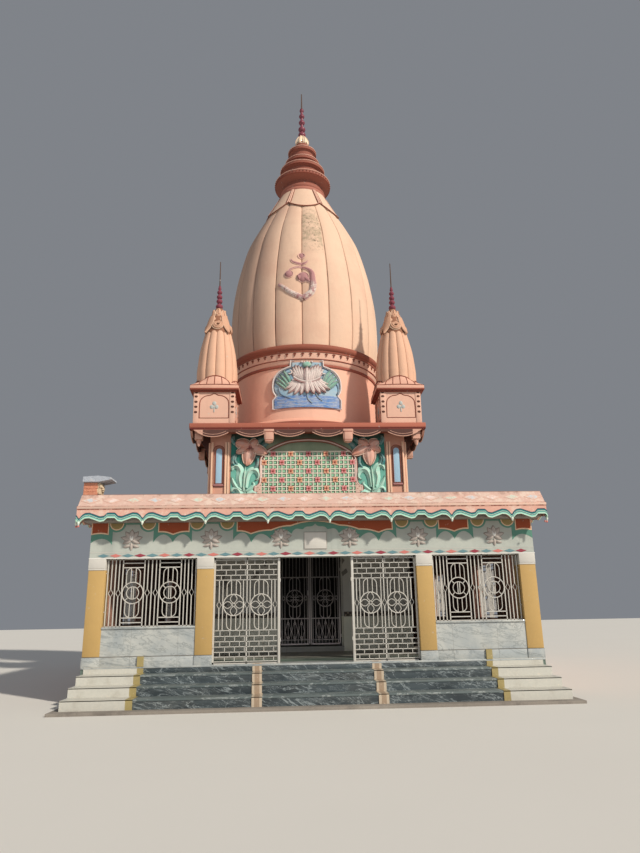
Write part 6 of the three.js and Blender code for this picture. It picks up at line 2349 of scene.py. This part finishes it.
CAMERA = {
    "place": (-0.5541, -18.0738, 1.6),
    "turn": 2.9803,
    "pitch": 16.0456,
    "roll": 1.0274,
    "lens": 36.288,
}

# Spread, angle to the right of the front and height over the ground of the two lights, in degrees
KEY_LIGHT = (3.0, 46.0, 33.0)
FILL_LIGHT = (40.0, 14.0, 7.0)


class TEMPLE_OT_stage(bpy.types.Operator):
    """Plain pale floor, soft light and the camera"""

    bl_idname = "temple.stage"
    bl_label = "Stage"

    def execute(self, context):
        floor = Form(WHITE)
        floor.box(-60, 60, -45, 75, -0.2, 0.0)
        mesh = bpy.data.meshes.new("stage_floor")
        floor.mesh.to_mesh(mesh)
        floor.mesh.free()
        stage = bpy.data.objects.new("stage_floor", mesh)
        context.scene.collection.objects.link(stage)
        mesh.materials.append(finish(make_stage))
        self.light(context)
        self.camera(context)
        return {"FINISHED"}

    def light(self, context):
        look = context.scene.temple_look
        world = bpy.data.worlds.new("pale_room")
        world.use_nodes = True
        background = world.node_tree.nodes["Background"]
        background.inputs["Color"].default_value = (*look.room_colour, 1.0)
        background.inputs["Strength"].default_value = look.room_strength
        context.scene.world = world
        for name, power, spread, side, height, colour in (
            ("key", look.key_strength, *KEY_LIGHT, look.key_colour),
            ("fill", look.fill_strength, *FILL_LIGHT, look.room_colour),
        ):
            lamp = bpy.data.lights.new(name, "SUN")
            lamp.energy = power
            lamp.angle = math.radians(spread)
            lamp.color = colour
            holder = bpy.data.objects.new(name, lamp)
            turn, up = math.radians(side), math.radians(height)
            towards = Vector((math.sin(turn) * math.cos(up), -math.cos(turn) * math.cos(up), math.sin(up)))
            holder.rotation_mode = "QUATERNION"
            holder.rotation_quaternion = towards.to_track_quat("Z", "Y")
            context.scene.collection.objects.link(holder)

    def camera(self, context):
        lens = bpy.data.cameras.new("view")
        lens.sensor_fit = "HORIZONTAL"
        lens.sensor_width = 36.0
        lens.lens = CAMERA["lens"]
        lens.clip_end = 500.0
        holder = bpy.data.objects.new("view", lens)
        turn = Matrix.Rotation(math.radians(-CAMERA["turn"]), 4, "Z")
        pitch = Matrix.Rotation(math.radians(90 + CAMERA["pitch"]), 4, "X")
        roll = Matrix.Rotation(math.radians(-CAMERA["roll"]), 4, "Z")
        holder.matrix_world = Matrix.Translation(CAMERA["place"]) @ turn @ pitch @ roll
        context.scene.collection.objects.link(holder)
        context.scene.camera = holder
        context.scene.view_settings.view_transform = "Standard"


class TempleSizes(bpy.types.PropertyGroup):
    """How finely the round forms are made"""

    round_steps: IntProperty(
        name="Round Steps", description="Faces round the finial's rings", default=64, min=16
    )


class TempleLook(bpy.types.PropertyGroup):
    """Light and the room's colour"""

    key_strength: FloatProperty(name="Key Light", description="Strength of the sun-like lamp", default=3.4)
    fill_strength: FloatProperty(
        name="Fill Light", description="Strength of the wide lamp at the camera's side", default=0.42
    )
    room_strength: FloatProperty(
        name="Room Light", description="Strength of the light from all round", default=0.25
    )
    key_colour: FloatVectorProperty(
        name="Key Colour", description="Colour of the sun-like lamp", subtype="COLOR",
        default=(1.0, 0.93, 0.82),
    )
    room_colour: FloatVectorProperty(
        name="Room Colour", description="Colour of the light from all round", subtype="COLOR",
        default=(0.86, 0.91, 1.0),
    )


STEPS = (
    "dome", "sign", "finial", "drum", "lotus", "turrets", "tower", "slab", "eaves", "frieze", "fronts",
    "grilles", "gate", "steps", "pier", "stage",
)


class TEMPLE_PT_panel(bpy.types.Panel):
    """Lists the steps that dress the temple"""

    bl_idname = "TEMPLE_PT_panel"
    bl_label = "Temple"
    bl_space_type = "VIEW_3D"
    bl_region_type = "UI"
    bl_category = "Temple"

    def draw(self, context):
        for group in (context.scene.temple_sizes, context.scene.temple_look):
            for name in group.__annotations__:
                self.layout.prop(group, name)
        for step in STEPS:
            self.layout.operator(f"temple.{step}")


CLASSES = (
    TempleSizes, TempleLook, TEMPLE_OT_dome, TEMPLE_OT_sign, TEMPLE_OT_finial, TEMPLE_OT_drum,
    TEMPLE_OT_lotus, TEMPLE_OT_turrets, TEMPLE_OT_tower, TEMPLE_OT_slab, TEMPLE_OT_eaves, TEMPLE_OT_frieze,
    TEMPLE_OT_fronts, TEMPLE_OT_grilles, TEMPLE_OT_gate, TEMPLE_OT_steps, TEMPLE_OT_pier, TEMPLE_OT_stage,
    TEMPLE_PT_panel,
)


def register():
    for made in CLASSES:
        bpy.utils.register_class(made)
    bpy.types.Scene.temple_sizes = PointerProperty(type=TempleSizes)
    bpy.types.Scene.temple_look = PointerProperty(type=TempleLook)


def unregister():
    del bpy.types.Scene.temple_sizes
    del bpy.types.Scene.temple_look
    for made in reversed(CLASSES):
        bpy.utils.unregister_class(made)


def main():
    register()
    for step in STEPS:
        getattr(bpy.ops.temple, step)()


if __name__ == "__main__":
    main()
